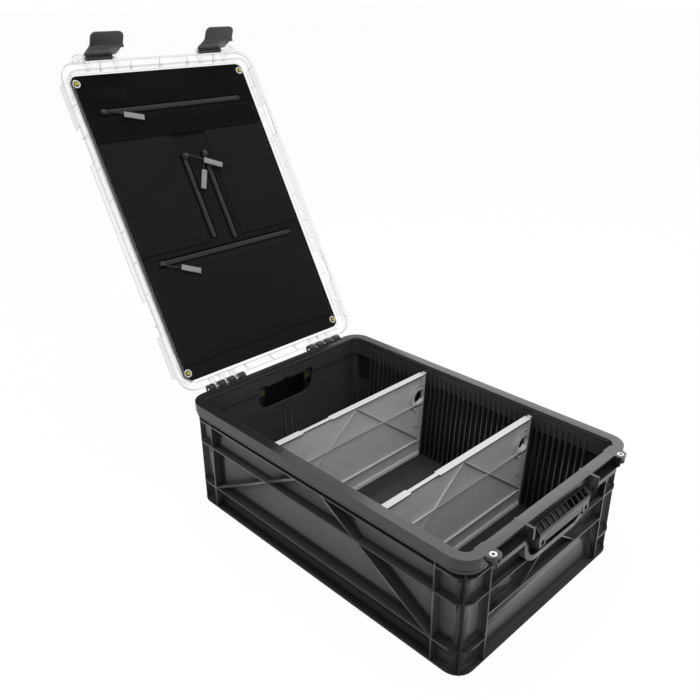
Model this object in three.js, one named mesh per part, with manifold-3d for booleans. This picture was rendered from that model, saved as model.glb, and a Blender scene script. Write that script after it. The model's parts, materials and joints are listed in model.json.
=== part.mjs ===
// Storage crate with a clear hinged lid, a lid organiser and two lift-out dividers
// Millimetres, +Z up. The origin is the centre of the base. The front, with the latches, faces -Y,
// and the lid is hinged along the rear rim. It is shown open, as in use.
import * as THREE from 'three';
import { mergeVertices } from 'three/addons/utils/BufferGeometryUtils.js';
import Module from 'manifold-3d';

const wasm = await Module();
wasm.setup();

// Crate: overall sizes
const crateLength = 600;
const crateWidth = 406;
const crateHeight = 197;
const rimCornerRadius = 32;

// Crate: rim section, from the outer skirt inwards
const rimTopWidth = 17;
const rimTopThickness = 3.5;
const rimSkirtThickness = 3.2;
const rimSkirtHeight = 15.8;
const rimGrooveInset = 3.8;
const rimGrooveHeight = 3.6;
const rimLipInset = 2;
const rimLipHeight = 3.9;
const rimLipThickness = 3.2;
const rebateDepth = 5;
const rebateLedge = 2;

// Crate: walls and floor
const wallInset = 19;
const wallThickness = 3;
const wallDraft = THREE.MathUtils.degToRad(1.8);
const wallCornerRadius = 14;
const bandThickness = 3;
const bandDrop = 34;
const floorTop = 12;
const floorThickness = 2.8;
const footThickness = 3;
const gridRibThickness = 2.4;
const gridColumns = 4;
const gridRows = 6;
const gatePadRadius = 12;

// Crate: outside fins
const finInset = 4.5;
const finThickness = 3;
const finTopDrop = 33;
const finMiddleDrop = 74.5;
const finLowHeight = 41.5;
const finEndDrop = 115;
const sideRibInset = 56;
const endRibInset = 57;
const sideBraceFoot = 28;
const endBraceTop = 16;
const endBraceFoot = 70;

// Crate: guide ribs for the dividers
const guideEndRoom = 42.8;
const slotShift = -0.7;
const slotsEachWay = 21;
const guideThickness = 2.5;
const guideDrop = 14;
const guideReachTop = 5.8;
const guideReachFoot = 11.4;
const channelHalfWidth = 9;
const channelRibThickness = 2.5;
const channelRibReach = 1.5;

// Crate: hand cups at both ends
const cupHalfWidth = 79;
const cupDrop = 76.5;
const cupCornerRadius = 33;
const cupThickness = 3.5;
const cupLipHeight = 8.5;
const cutoutHalfWidth = 64;
const cutoutDrop = 73.5;
const cutoutTopDrop = 27;
const cutoutCornerRadius = 25;
const notchHalfWidth = 8;
const notchDepth = 3;
const handleStripHeight = 10.6;
const handleLugWidth = 16;
const handleLugTopDrop = 11;
const handleLugFootDrop = 47;
const handleSeatReach = 4;

// Crate: ears, keepers, padlock posts at the front
const earHalfSpan = 84;
const earThickness = 5;
const earReach = 13;
const earFrontHeight = 18;
const earFootReach = 8;
const earFootDrop = 26.7;
const keeperReach = 5.8;
const keeperDrop = 19;
const keeperHeight = 8;
const keeperThickness = 3;
const postWidth = 21;
const postReach = 12;
const postPlateThickness = 5;
const postWebHeight = 22;
const postWebThickness = 3;
const postOuterRadius = 9;
const postInnerRadius = 2;
const eyeletReach = 4.5;
const eyeletBossRadius = 7;
const eyeletBossHeight = 8;
const eyeletBore = 2;
const eyeletBarrel = 3.2;
const eyeletFlange = 5.5;
const eyeletFlangeThickness = 0.9;

// Hinge along the rear rim
const hingeReach = 4.9;
const hingeDrop = 1;
const knuckleRadius = 7.8;
const knuckleEndInset = 46.4;
const knuckleHandleGap = 14.3;
const knuckleShare = 0.56;
const knucklesEachSide = 4;
const knuckleFoot = 14;
const hingePinRadius = 2.5;

// Clearances
const clearance = 0.3;
const pinClearance = 0.35;
const fingerClearance = 0.35;
const sweepClearance = 0.8;
const overrun = 2;
const bite = 1;

// Roundness, as counts of straight pieces
const cornerSteps = 3;
const bendSteps = 2;
const smallSides = 8;
const roundSides = 12;
// Flat faces that meet within this distance of one plane are drawn as one
const flatness = 0.01;

// Lid, measured closed: reach from the hinge axis and height above it
const lidOpenAngle = THREE.MathUtils.degToRad(119.7);
const lidEdgeInset = 1;
const lidCornerRadius = 31;
const flangeThickness = 3;
const flangeLipThickness = 2.2;
const flangeLipHeight = 3;
const lidWallInset = 14;
const lidWallThickness = 3;
const lidWallHeight = 22.1;
const lidPlateThickness = 3;
const ridgeThickness = 3;
const ridgeInset = 2;
const ridgeHeight = 26;
const ridgeHalfLength = 125;
const ridgeGap = 65;
const ridgeEndInset = 33;
const lidRibThickness = 2;
const lidSideRibInset = 57.6;
const lidSideRibs = 9;
const lidEndRibInset = 69;
const lidEndRibs = 5;
const lidRibDrop = 3;
const armHeight = 10;
const tabThickness = 5;
const tabHoleRadius = 3.5;
const tabRoot = 6;
const blindHoleDepth = 2.4;

// Latches
const latchSideGap = 8;
const latchThickness = 3;
const latchPivotReach = 7.5;
const latchPivotHeight = 11;
const latchBarrelRadius = 4.5;
const latchPinRadius = 1.8;
const latchHookClearance = 0.5;
const latchHookThickness = 3;
const latchTabLength = 26;
const latchTabCorner = 7;
const latchTabAngle = THREE.MathUtils.degToRad(38);
const latchTabFlare = 1;
const lugThickness = 4;
const lugRadius = 6;

// Organiser: the board in the lid, with its zips and pockets placed from the board's edges.
// Its near end is the one at the hinge.
const boardSideGap = 3;
const boardEndGap = 2.5;
const boardThickness = 3;
const boardCornerRadius = 14;
const pocketThickness = 2.2;
const pocketCornerRadius = 4;
const pocketEdgeInset = 5;
const pocketCrown = 0.8;
const zipTapeWidth = 13;
const zipTapeThickness = 1.2;
const zipTeethWidth = 5;
const zipTeethHeight = 1.3;
const topZipInset = 68.9;
const lowZipInset = 210.6;
const endZipInset = 33;
const leftZipX = -21;
const rightZipX = 23;
const middleZipDrop = 39.5;
const leftZipLift = 23;
const rightZipLift = 13;
const topPocketDepth = 48.7;
const leftPocketGap = 12;
const rightPocketGap = 17;
const middlePocketLift = 18;
const bottomPocketInset = 27.6;
const sliderLength = 9;
const sliderWidth = 8;
const sliderThickness = 2;
const sliderPostRadius = 1.2;
const sliderCapRadius = 2.3;
const sliderCapThickness = 1;
const pullEyeRadius = 3.2;
const pullThickness = 1.6;
const pullCordWidth = 2;
const pullCordLength = 36;
const pullTabLength = 38;
const pullTabWidth = 10;
const pullTabThickness = 2.5;
const pullTabCorner = 1.5;
const pullLift = 3.5;
const topPullAngle = THREE.MathUtils.degToRad(-15);
const lowPullAngle = THREE.MathUtils.degToRad(-24);
const leftPullAngle = THREE.MathUtils.degToRad(-24);
const rightPullAngle = THREE.MathUtils.degToRad(-116);
const fixingSideInset = 9.5;
const fixingEndInset = 14.5;
const washerRadius = 7;
const washerThickness = 2;
const fixingHeadRadius = 3.5;
const fixingHeadHeight = 1.6;
const fixingShankRadius = 2;

// Dividers
const dividerSlots = [9, -12];
const dividerGap = 0.8;
const dividerDrop = 13;
const dividerStripWidth = 12;
const dividerStripThickness = 2.7;
const dividerStripInset = 7;
const dividerNeckWidth = 6.7;
const dividerNeckInset = 60;
const dividerNeckLength = 64;
const dividerWeb = 2.5;
const tongueThickness = 7.2;
const tongueWidth = 5;
const dividerRib = 2.2;
const dividerRibInset = 15;
const dividerApexDrop = 4;
const dividerTrussFoot = 48;
const dividerMidDrop = 58;
const dividerLowHeight = 46;
const dividerBaseHeight = 8;
const eyeInset = 19;
const eyeDrop = 44.5;
const eyeRadius = 14.5;
const eyeRingRadius = 21.5;
const eyeRingThickness = 9;
const eyeRingInset = 8;
const eyeArcRadius = 27;
const eyeArcWidth = 2;
const tabWidth = 12;
const tabTopDrop = 65;
const tabFootDrop = 106;
const tabDepth = 8;

// Handles
const gripHalfWidth = 64;
const gripSkin = 3;
const gripSlopeTop = 2;
const gripReach = 11.5;
const gripSlopeDrop = 20.5;
const gripBead = 1;
const gripBeadDrop = 29.3;
const gripFootDrop = 40.8;
const gripReturn = 8;
const gripLugDrop = 29;
const gripLugNose = 12.3;
const gripLugChin = 9.7;
const gripLugNoseDrop = 44.2;
const gripLugChinDrop = 47.1;
const gripLugHeel = 0.4;
const gripLugHeelDrop = 48.4;
const gripLugBackDrop = 45.8;
const gripCheek = 3;
const gripPlateSetback = 9;
const gripPlateThickness = 2.5;
const gripPlateHalfWidth = 62;
const louvrePitch = 12.4;
const louvreBar = 1.8;
const louvreMargin = 0.5;
const louvres = 10;
const gripScrewFromCentre = 55.3;
const gripScrewDrop = 38.5;
const screwHeadRadius = 3.6;
const screwHeadHeight = 2.4;
const screwSink = 1;
const screwShankRadius = 1.9;
const screwLength = 21;
const insertRadius = 4.5;
const insertWall = 2.25;
const handleLugDepth = 10;

// Looks
const finish = (color, roughness, metalness, opacity = 1) => new THREE.MeshStandardMaterial({
  color, roughness, metalness, opacity, transparent: opacity < 1, flatShading: true,
});
const crateBlack = () => finish(0x1f2022, 0.32, 0);
const leverBlack = () => finish(0x1b1c1e, 0.45, 0);
const clearPlastic = () => finish(0xeef4f6, 0.08, 0, 0.25);
const boardCloth = () => finish(0x151617, 0.9, 0);
const pocketCloth = () => finish(0x1a1b1c, 0.95, 0);
const zipBlack = () => finish(0x0c0c0d, 0.55, 0);
const darkMetal = () => finish(0x2b2b2d, 0.4, 0.8);
const pullGrey = () => finish(0x7b7c7e, 0.6, 0);
const brass = () => finish(0xb09a2c, 0.3, 1);
const steel = () => finish(0xc8cacc, 0.25, 1);
const dividerGrey = () => finish(0x85878a, 0.5, 0);

const part = new THREE.Group();
const crate = new THREE.Group();
part.add(crate);

// A closed geometry as a solid that can be joined and cut
const solid = (geometry) => {
  const bare = geometry.clone();
  for (const name of ['normal', 'uv']) bare.deleteAttribute(name);
  const welded = mergeVertices(bare);
  return new wasm.Manifold(new wasm.Mesh({
    numProp: 3,
    vertProperties: Float32Array.from(welded.attributes.position.array),
    triVerts: Uint32Array.from(welded.index.array),
  }));
};

const join = (solids) => solids.reduce((all, next) => all.add(next));

const geometryOf = (shape) => {
  const { numProp, vertProperties, triVerts } = shape.asOriginal().simplify(flatness).getMesh();
  const geometry = new THREE.BufferGeometry();
  geometry.setAttribute('position', new THREE.BufferAttribute(vertProperties, numProp));
  geometry.setIndex(new THREE.BufferAttribute(triVerts, 1));
  geometry.computeVertexNormals();
  return geometry;
};

const addMesh = (group, name, shape, material) => {
  const mesh = new THREE.Mesh(shape.isBufferGeometry ? shape : geometryOf(shape), material);
  mesh.name = name;
  group.add(mesh);
  return mesh;
};

// Outlines
const polygon = (points) => new THREE.Shape(points.map(([a, b]) => new THREE.Vector2(a, b)));

const roundedRect = (left, right, low, high, radius) => {
  const shape = new THREE.Shape();
  const quarter = Math.PI / 2;
  shape.moveTo(left + radius, low);
  shape.lineTo(right - radius, low);
  shape.absarc(right - radius, low + radius, radius, -quarter, 0);
  shape.lineTo(right, high - radius);
  shape.absarc(right - radius, high - radius, radius, 0, quarter);
  shape.lineTo(left + radius, high);
  shape.absarc(left + radius, high - radius, radius, quarter, 2 * quarter);
  shape.lineTo(left, low + radius);
  shape.absarc(left + radius, low + radius, radius, 2 * quarter, 3 * quarter);
  return shape;
};
const centredRect = (halfX, halfY, radius) => roundedRect(-halfX, halfX, -halfY, halfY, radius);

// A U outline that is open to the top, with rounded lower corners
const uShape = (half, low, high, radius) => {
  const shape = new THREE.Shape();
  shape.moveTo(half, high);
  shape.lineTo(-half, high);
  shape.lineTo(-half, low + radius);
  shape.absarc(-half + radius, low + radius, radius, Math.PI, 1.5 * Math.PI);
  shape.lineTo(half - radius, low);
  shape.absarc(half - radius, low + radius, radius, 1.5 * Math.PI, 2 * Math.PI);
  return shape;
};

// Outlines pulled along Z, along X (points in Y and Z) and along Y (points in X and Z)
const alongZ = (shape, low, high, curveSegments = cornerSteps) => {
  const geometry = new THREE.ExtrudeGeometry(shape, { depth: high - low, bevelEnabled: false, curveSegments });
  return geometry.translate(0, 0, low);
};
const turnToX = new THREE.Matrix4().makeBasis(
  new THREE.Vector3(0, 1, 0), new THREE.Vector3(0, 0, 1), new THREE.Vector3(1, 0, 0));
const turnToY = new THREE.Matrix4().makeBasis(
  new THREE.Vector3(1, 0, 0), new THREE.Vector3(0, 0, 1), new THREE.Vector3(0, -1, 0));
const alongX = (shape, from, to, steps) => alongZ(shape, from, to, steps).applyMatrix4(turnToX);
const alongY = (shape, from, to, steps) => alongZ(shape, -to, -from, steps).applyMatrix4(turnToY);

const block = (x0, x1, y0, y1, z0, z1) => new THREE.BoxGeometry(x1 - x0, y1 - y0, z1 - z0)
  .translate((x0 + x1) / 2, (y0 + y1) / 2, (z0 + z1) / 2);

// Rods: a cylinder stands on Y, so it is turned for the other two directions
const rodZ = (radius, x, y, low, high, sides = smallSides) => new THREE.CylinderGeometry(
  radius, radius, high - low, sides).rotateX(Math.PI / 2).translate(x, y, (low + high) / 2);
const rodX = (radius, y, z, from, to, sides = smallSides) => new THREE.CylinderGeometry(
  radius, radius, to - from, sides).rotateZ(Math.PI / 2).translate((from + to) / 2, y, z);
const rodY = (radius, x, z, from, to, sides = smallSides) => new THREE.CylinderGeometry(
  radius, radius, to - from, sides).translate(x, (from + to) / 2, z);

// Leans the sides of a geometry outwards as it rises
const lean = (geometry, slope) => {
  const at = geometry.attributes.position;
  for (let i = 0; i < at.count; i += 1) {
    const shift = slope * at.getZ(i);
    at.setX(i, at.getX(i) + Math.sign(at.getX(i)) * shift);
    at.setY(i, at.getY(i) + Math.sign(at.getY(i)) * shift);
  }
  return geometry;
};

// Derived crate places
const rimX = crateWidth / 2;
const rimY = crateLength / 2;
const slope = Math.tan(wallDraft);
const wallX = rimX - wallInset;
const wallY = rimY - wallInset;
const innerX = wallX - wallThickness;
const innerY = wallY - wallThickness;
const finX = rimX - finInset;
const finY = rimY - finInset;
const finRadius = rimCornerRadius - finInset;
const mouthX = rimX - rimTopWidth;
const mouthY = rimY - rimTopWidth;
const mouthRadius = wallCornerRadius;
const rebateFoot = crateHeight - rebateDepth;
const bandX = mouthX - rebateLedge - slope * rebateFoot;
const bandY = mouthY - rebateLedge - slope * rebateFoot;
const bandBottom = crateHeight - bandDrop;
const finTopHeight = crateHeight - finTopDrop;
const finMiddleHeight = crateHeight - finMiddleDrop;
const finEndHeight = crateHeight - finEndDrop;
const guideTop = crateHeight - guideDrop;
const cupBottom = crateHeight - cupDrop;
const cutoutBottom = crateHeight - cutoutDrop;
const cutoutTop = crateHeight - cutoutTopDrop;
const handleLugTop = crateHeight - handleLugTopDrop;
const handleLugFoot = crateHeight - handleLugFootDrop;
const earFoot = crateHeight - earFootDrop;
const keeperTop = crateHeight - keeperDrop;
const dividerTop = crateHeight - dividerDrop;
const gripSlopeFoot = crateHeight - gripSlopeDrop;
const gripBeadFoot = crateHeight - gripBeadDrop;
const gripFoot = crateHeight - gripFootDrop;
const gripLugTop = crateHeight - gripLugDrop;
const gripLugNoseHeight = crateHeight - gripLugNoseDrop;
const gripLugChinHeight = crateHeight - gripLugChinDrop;
const gripLugHeelHeight = crateHeight - gripLugHeelDrop;
const gripLugBackHeight = crateHeight - gripLugBackDrop;
const gripScrewHeight = crateHeight - gripScrewDrop;
const skirtFoot = crateHeight - rimSkirtHeight;
const grooveFoot = skirtFoot - rimGrooveHeight;
const lipFoot = grooveFoot - rimLipHeight;
const rimUnder = crateHeight - rimTopThickness;
const wallXAt = (z) => wallX + slope * z;
const wallYAt = (z) => wallY + slope * z;
const innerXAt = (z) => innerX + slope * z;
const bandXAt = (z) => bandX + slope * z;
const sideRibFromCentre = rimY - sideRibInset;
const endRibFromCentre = rimX - endRibInset;
const postOuter = rimX - rimCornerRadius;
const postInner = postOuter - postWidth;
const eyeletFromCentre = (postInner + postOuter) / 2;
const latchFromCentre = (earHalfSpan + postInner) / 2;
const latchWidth = postInner - earHalfSpan - 2 * latchSideGap;

const ring = (inset, thickness, low, high) => solid(
  alongZ(centredRect(rimX - inset, rimY - inset, rimCornerRadius - inset), low, high))
  .subtract(solid(alongZ(centredRect(rimX - inset - thickness, rimY - inset - thickness,
    rimCornerRadius - inset - thickness), low - overrun, high + overrun)));

// Basin and rim
const basin = solid(lean(alongZ(centredRect(wallX, wallY, wallCornerRadius), 0, crateHeight - overrun, bendSteps),
  slope));
const rimTop = solid(alongZ(centredRect(rimX, rimY, rimCornerRadius), rimUnder, crateHeight));
const foot = solid(alongZ(centredRect(finX, finY, finRadius), 0, footThickness));
const rimRings = [
  ring(0, rimSkirtThickness, skirtFoot, crateHeight - rimTopThickness / 2),
  ring(rimLipInset / 2, rimSkirtThickness, skirtFoot - rimGrooveHeight / 2, skirtFoot + rimGrooveHeight),
  ring(rimGrooveInset - rimSkirtThickness / 2, rimSkirtThickness, grooveFoot - bite, skirtFoot + bite),
  ring(rimLipInset, rimLipThickness, lipFoot, grooveFoot),
];

// Fins that run round the tub. At the ends the top one stops at the corner ribs, the middle one at the hand cup
// and the low one at the upright ribs.
const finPlate = (height) => solid(alongZ(
  centredRect(finX, finY, finRadius), height - finThickness / 2, height + finThickness / 2));
const span = (a, b) => [Math.min(a, b), Math.max(a, b)];
const bothSides = [-1, 1];
const endWindow = (half, height) => bothSides.map((side) => solid(block(-half, half,
  ...span(side * wallYAt(height), side * (rimY + overrun)), height - finThickness, height + finThickness)));
const uprightFace = endRibFromCentre - finThickness / 2;
let fins = [
  finPlate(finTopHeight).subtract(join(endWindow(uprightFace, finTopHeight))),
  finPlate(finMiddleHeight),
  finPlate(finLowHeight).subtract(join(endWindow(uprightFace, finLowHeight))),
];

// Upright ribs, corner ribs and braces
for (const side of bothSides) {
  for (const end of bothSides) {
    const y = end * sideRibFromCentre;
    fins.push(solid(block(Math.min(0, side * finX), Math.max(0, side * finX),
      y - finThickness / 2, y + finThickness / 2, 0, rimUnder + bite)));
    const x = side * endRibFromCentre;
    fins.push(solid(block(x - finThickness / 2, x + finThickness / 2,
      Math.min(0, end * finY), Math.max(0, end * finY), 0, rimUnder + bite)));
    const corner = block(0, finRadius, -finThickness / 2, finThickness / 2, 0, rimUnder + bite);
    corner.rotateZ(Math.atan2(end, side));
    corner.translate(side * (finX - finRadius), end * (finY - finRadius), 0);
    fins.push(solid(corner));
    const low = finLowHeight;
    const high = finTopHeight;
    const brace = alongX(polygon([
      [end * sideRibFromCentre, low - finThickness], [end * sideRibFromCentre, low + finThickness / 2],
      [end * sideBraceFoot, high + finThickness / 2], [end * sideBraceFoot, high - finThickness]]), 0, finX);
    if (side < 0) brace.translate(-finX, 0, 0);
    fins.push(solid(brace));
  }
}
for (const end of bothSides) {
  fins.push(solid(block(-endRibFromCentre, endRibFromCentre, Math.min(0, end * finY), Math.max(0, end * finY),
    finEndHeight - finThickness / 2, finEndHeight + finThickness / 2)));
  for (const side of bothSides) {
    const brace = alongY(polygon([
      [side * endBraceTop, cupBottom + bite], [side * (endBraceTop + finThickness), cupBottom + bite],
      [side * (endBraceFoot + finThickness), finEndHeight], [side * endBraceFoot, finEndHeight]]), 0, finY);
    if (end < 0) brace.translate(0, -finY, 0);
    fins.push(solid(brace));
  }
}

// Hollow inside: lower cavity, thicker band for the guide ribs, rebate at the mouth
const cavity = join([
  solid(lean(alongZ(centredRect(innerX, innerY, wallCornerRadius - wallThickness), floorTop, bandBottom, bendSteps),
    slope)),
  solid(lean(alongZ(centredRect(bandX, bandY, wallCornerRadius - wallThickness), bandBottom - bite,
    rebateFoot + bite, bendSteps), slope)),
  solid(alongZ(centredRect(mouthX, mouthY, mouthRadius), rebateFoot, crateHeight + overrun, bendSteps)),
]);

// Pockets of the base grid, open downwards
const gridPocketX = (2 * innerX) / gridColumns;
const gridPocketY = (2 * innerY) / gridRows;
const gridPockets = [];
for (let i = 0; i < gridColumns; i += 1) {
  for (let j = 0; j < gridRows; j += 1) {
    const x = -innerX + i * gridPocketX;
    const y = -innerY + j * gridPocketY;
    gridPockets.push(solid(block(x + gridRibThickness / 2, x + gridPocketX - gridRibThickness / 2,
      y + gridRibThickness / 2, y + gridPocketY - gridRibThickness / 2, -overrun, floorTop - floorThickness)));
  }
}

// A hand cup: a tray under the grip with a lip in front, joined to ears at its sides
const cupTop = rimUnder + bite;
const hingeY = rimY + hingeReach;
const hingeZ = crateHeight - hingeDrop;
const cupSolid = (end) => {
  const at = (from, to) => (end < 0 ? [-to, -from] : [from, to]);
  const [y0, y1] = at(wallY - wallThickness, rimY);
  return solid(alongY(uShape(cupHalfWidth, cupBottom, cupTop, cupCornerRadius), y0, y1));
};
const cupHollow = (end) => {
  const at = (from, to) => (end < 0 ? [-to, -from] : [from, to]);
  const [y0, y1] = at(wallYAt(cutoutBottom), rimY - cupThickness);
  const [l0, l1] = at(rimY - cupThickness - bite, rimY + overrun);
  const stripFoot = crateHeight - handleStripHeight;
  const lipInset = cupLipHeight;
  return join([
    solid(alongY(uShape(cupHalfWidth - cupThickness, cupBottom + cupThickness, rimUnder,
      cupCornerRadius - cupThickness), y0, y1)),
    solid(alongY(uShape(cupHalfWidth - lipInset, cupBottom + lipInset, stripFoot,
      cupCornerRadius - lipInset), l0, l1)),
  ]);
};
const cutout = (end) => {
  const at = (from, to) => (end < 0 ? [-to, -from] : [from, to]);
  const [y0, y1] = at(wallY - wallThickness - bandThickness - overrun, wallYAt(cutoutTop) + bite);
  return join([
    solid(alongY(uShape(cutoutHalfWidth, cutoutBottom, cutoutTop, cutoutCornerRadius), y0, y1)),
    ...[-cutoutHalfWidth + notchHalfWidth, 0, cutoutHalfWidth - notchHalfWidth].map((x) => solid(
      block(x - notchHalfWidth, x + notchHalfWidth, y0, y1, cutoutTop - bite, cutoutTop + notchDepth))),
  ]);
};

// Seats for the handle: two lugs that hang in the cup, with a hole for the threaded insert
const lugFace = rimY - handleSeatReach;
const insertX = gripScrewFromCentre;
const handleSeats = (end) => bothSides.map((side) => {
  const x0 = side * (cutoutHalfWidth - handleLugWidth);
  const x1 = side * (cutoutHalfWidth + bite);
  const y = [end * (lugFace - handleLugDepth), end * lugFace];
  return solid(block(Math.min(x0, x1), Math.max(x0, x1), Math.min(...y), Math.max(...y), handleLugFoot, handleLugTop))
    .subtract(solid(rodY(insertRadius + clearance, side * insertX, gripScrewHeight,
      Math.min(...y) - overrun, Math.max(...y) + overrun)));
});
const seatBridge = (end) => bothSides.map((side) => {
  const x0 = side * (cutoutHalfWidth - bite);
  const x1 = side * (cupHalfWidth - bite);
  const y = [end * (wallYAt(cutoutBottom) - bite), end * (lugFace - clearance)];
  return solid(block(Math.min(x0, x1), Math.max(x0, x1), Math.min(...y), Math.max(...y),
    handleLugFoot + overrun, handleLugFoot + overrun + finThickness));
});

// Plan of a padlock post, also used for the lid's tab above it
const postPlate = (side, back) => {
  const plate = new THREE.Shape();
  const front = -rimY - postReach;
  const inner = side * postInner;
  const outer = side * postOuter;
  plate.moveTo(inner, back);
  plate.lineTo(inner, front + postInnerRadius);
  plate.lineTo(inner + side * postInnerRadius, front);
  for (let i = 0; i <= bendSteps; i += 1) {
    const turn = (i / bendSteps) * (Math.PI / 2);
    plate.lineTo(outer - side * postOuterRadius * (1 - Math.sin(turn)),
      front + postOuterRadius * (1 - Math.cos(turn)));
  }
  plate.lineTo(outer, back);
  return plate;
};

// Front ears, latch keepers and padlock posts
const frontCuts = [];
const frontAdds = [];
const rearAdds = [];
for (const side of bothSides) {
  const [e0, e1] = span(side * (earHalfSpan - earThickness), side * earHalfSpan);
  frontAdds.push(solid(alongX(polygon([
    [-wallY, crateHeight], [-rimY - earReach, crateHeight], [-rimY - earReach, crateHeight - earFrontHeight],
    [-rimY - earFootReach, earFoot], [-wallY, earFoot]]), e0, e1)));
  const [k0, k1] = span(side * (earHalfSpan - bite), side * (postInner + bite));
  const [c0, c1] = span(side * earHalfSpan, side * postInner);
  frontCuts.push(solid(block(c0, c1, -rimY - overrun, -wallYAt(rimUnder) - bite, lipFoot - overrun, rimUnder)));
  frontAdds.push(solid(block(k0, k1, -rimY - keeperReach, -wallY, keeperTop - keeperThickness, keeperTop)));
  frontAdds.push(solid(block(k0, k1, -rimY - keeperReach, -rimY - keeperReach + keeperThickness,
    keeperTop - keeperHeight, keeperTop)));
  const [p0, p1] = span(side * postInner, side * postOuter);
  const front = -rimY - postReach;
  const inner = side * postInner;
  frontAdds.push(solid(alongZ(postPlate(side, -wallY), crateHeight - postPlateThickness, crateHeight)));
  const [w0, w1] = span(inner, inner + side * postWebThickness);
  frontAdds.push(solid(alongX(polygon([
    [-wallY, crateHeight - bite], [-wallY, crateHeight - postWebHeight],
    [front + postOuterRadius, crateHeight - postWebHeight],
    [front + postInnerRadius, crateHeight - postWebHeight + postOuterRadius - postInnerRadius],
    [front + postInnerRadius, crateHeight - bite]]), w0, w1)));
  frontAdds.push(solid(rodZ(eyeletBossRadius, side * eyeletFromCentre, -rimY - eyeletReach,
    crateHeight - postPlateThickness - eyeletBossHeight, crateHeight - bite, roundSides)));
}

// Hinge knuckles of the crate: tangent from the skirt to the barrel
const knuckleShape = new THREE.Shape();
knuckleShape.moveTo(rimY - rimSkirtThickness, crateHeight - knuckleFoot);
knuckleShape.lineTo(rimY, crateHeight - knuckleFoot);
knuckleShape.lineTo(hingeY, hingeZ - knuckleRadius);
knuckleShape.absarc(hingeY, hingeZ, knuckleRadius, -Math.PI / 2, Math.PI);
knuckleShape.lineTo(rimY - rimSkirtThickness, hingeZ - bite);
const knuckleStart = cutoutHalfWidth + knuckleHandleGap;
const knucklePitch = (rimX - knuckleEndInset - knuckleStart) / (knucklesEachSide - 1 + knuckleShare);
const knuckleLength = knuckleShare * knucklePitch;
const knuckleEnds = (side, k) => span(
  side * (knuckleStart + k * knucklePitch), side * (knuckleStart + k * knucklePitch + knuckleLength));
const fingerEnds = (side, k) => span(side * (knuckleStart + k * knucklePitch + knuckleLength + fingerClearance),
  side * (knuckleStart + (k + 1) * knucklePitch - fingerClearance));
const rearCuts = [];
const pinEnds = (side) => span(side * (knuckleStart + fingerClearance),
  side * (knuckleStart + (knucklesEachSide - 1) * knucklePitch + knuckleLength - fingerClearance));
for (const side of bothSides) {
  for (let k = 0; k < knucklesEachSide; k += 1) {
    rearAdds.push(solid(alongX(knuckleShape, ...knuckleEnds(side, k), cornerSteps * 2)));
    if (k + 1 < knucklesEachSide) {
      const [a, b] = fingerEnds(side, k);
      rearCuts.push(solid(rodX(knuckleRadius + sweepClearance, hingeY, hingeZ,
        a - fingerClearance, b + fingerClearance, roundSides)));
    }
  }
  const [a, b] = pinEnds(side);
  rearCuts.push(solid(rodX(hingePinRadius + pinClearance, hingeY, hingeZ, a - overrun, b + overrun)));
}

// Guide ribs on the long walls, with a slot for a divider between each two
const slotPitch = (2 * (innerY - guideEndRoom)) / (2 * slotsEachWay + 1);
const guides = [];
const guideSpan = (side) => [
  [side * (innerXAt(guideTop) + bite), guideTop],
  [side * (innerXAt(guideTop) - guideReachTop), guideTop],
  [side * (innerXAt(floorTop) - guideReachFoot), floorTop - bite],
  [side * (innerXAt(floorTop) + bite), floorTop - bite]];
for (const side of bothSides) {
  for (let j = -slotsEachWay - 1; j <= slotsEachWay; j += 1) {
    const y = (j + 0.5) * slotPitch + slotShift;
    guides.push(solid(alongY(polygon(guideSpan(side)), y - guideThickness / 2, y + guideThickness / 2)));
  }
}
for (const end of bothSides) {
  for (const side of bothSides) {
    const x = side * (channelHalfWidth - channelRibThickness / 2);
    const deep = innerY - channelRibReach;
    guides.push(solid(alongX(polygon([
      [end * (innerY + wallThickness / 2), floorTop - bite], [end * deep, floorTop - bite],
      [end * (deep + slope * cutoutBottom), cutoutBottom - bite],
      [end * (innerY + wallThickness / 2 + slope * cutoutBottom), cutoutBottom - bite]]),
    x - channelRibThickness / 2, x + channelRibThickness / 2)));
  }
}

// The tub: one moulding
let tub = join([basin, rimTop, foot, ...rimRings, ...fins]);
tub = tub.add(join(bothSides.map(cupSolid)));
tub = tub.subtract(join([cavity, ...frontCuts, ...bothSides.map(cupHollow)]));
tub = tub.subtract(join(gridPockets));
tub = tub.add(solid(rodZ(gatePadRadius, 0, 0, 0, floorTop - floorThickness + bite, roundSides)));
tub = tub.subtract(join(bothSides.map(cutout)));
tub = tub.add(join([...frontAdds, ...bothSides.flatMap(handleSeats), ...bothSides.flatMap(seatBridge)]));
tub = tub.subtract(join(bothSides.flatMap((side) => [
  solid(rodZ(eyeletBarrel + clearance, side * eyeletFromCentre, -rimY - eyeletReach,
    crateHeight - postPlateThickness - eyeletBossHeight - overrun, crateHeight + overrun)),
  solid(rodZ(eyeletFlange + clearance, side * eyeletFromCentre, -rimY - eyeletReach,
    crateHeight - eyeletFlangeThickness - clearance, crateHeight + overrun, roundSides)),
])));
tub = tub.add(join(guides));
tub = tub.subtract(join(rearCuts));
tub = tub.add(join(rearAdds));
tub = tub.subtract(join(bothSides.map((side) => solid(rodX(hingePinRadius + pinClearance, hingeY, hingeZ,
  pinEnds(side)[0] - overrun, pinEnds(side)[1] + overrun)))));
addMesh(crate, 'crate_tub', tub, crateBlack());

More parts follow.
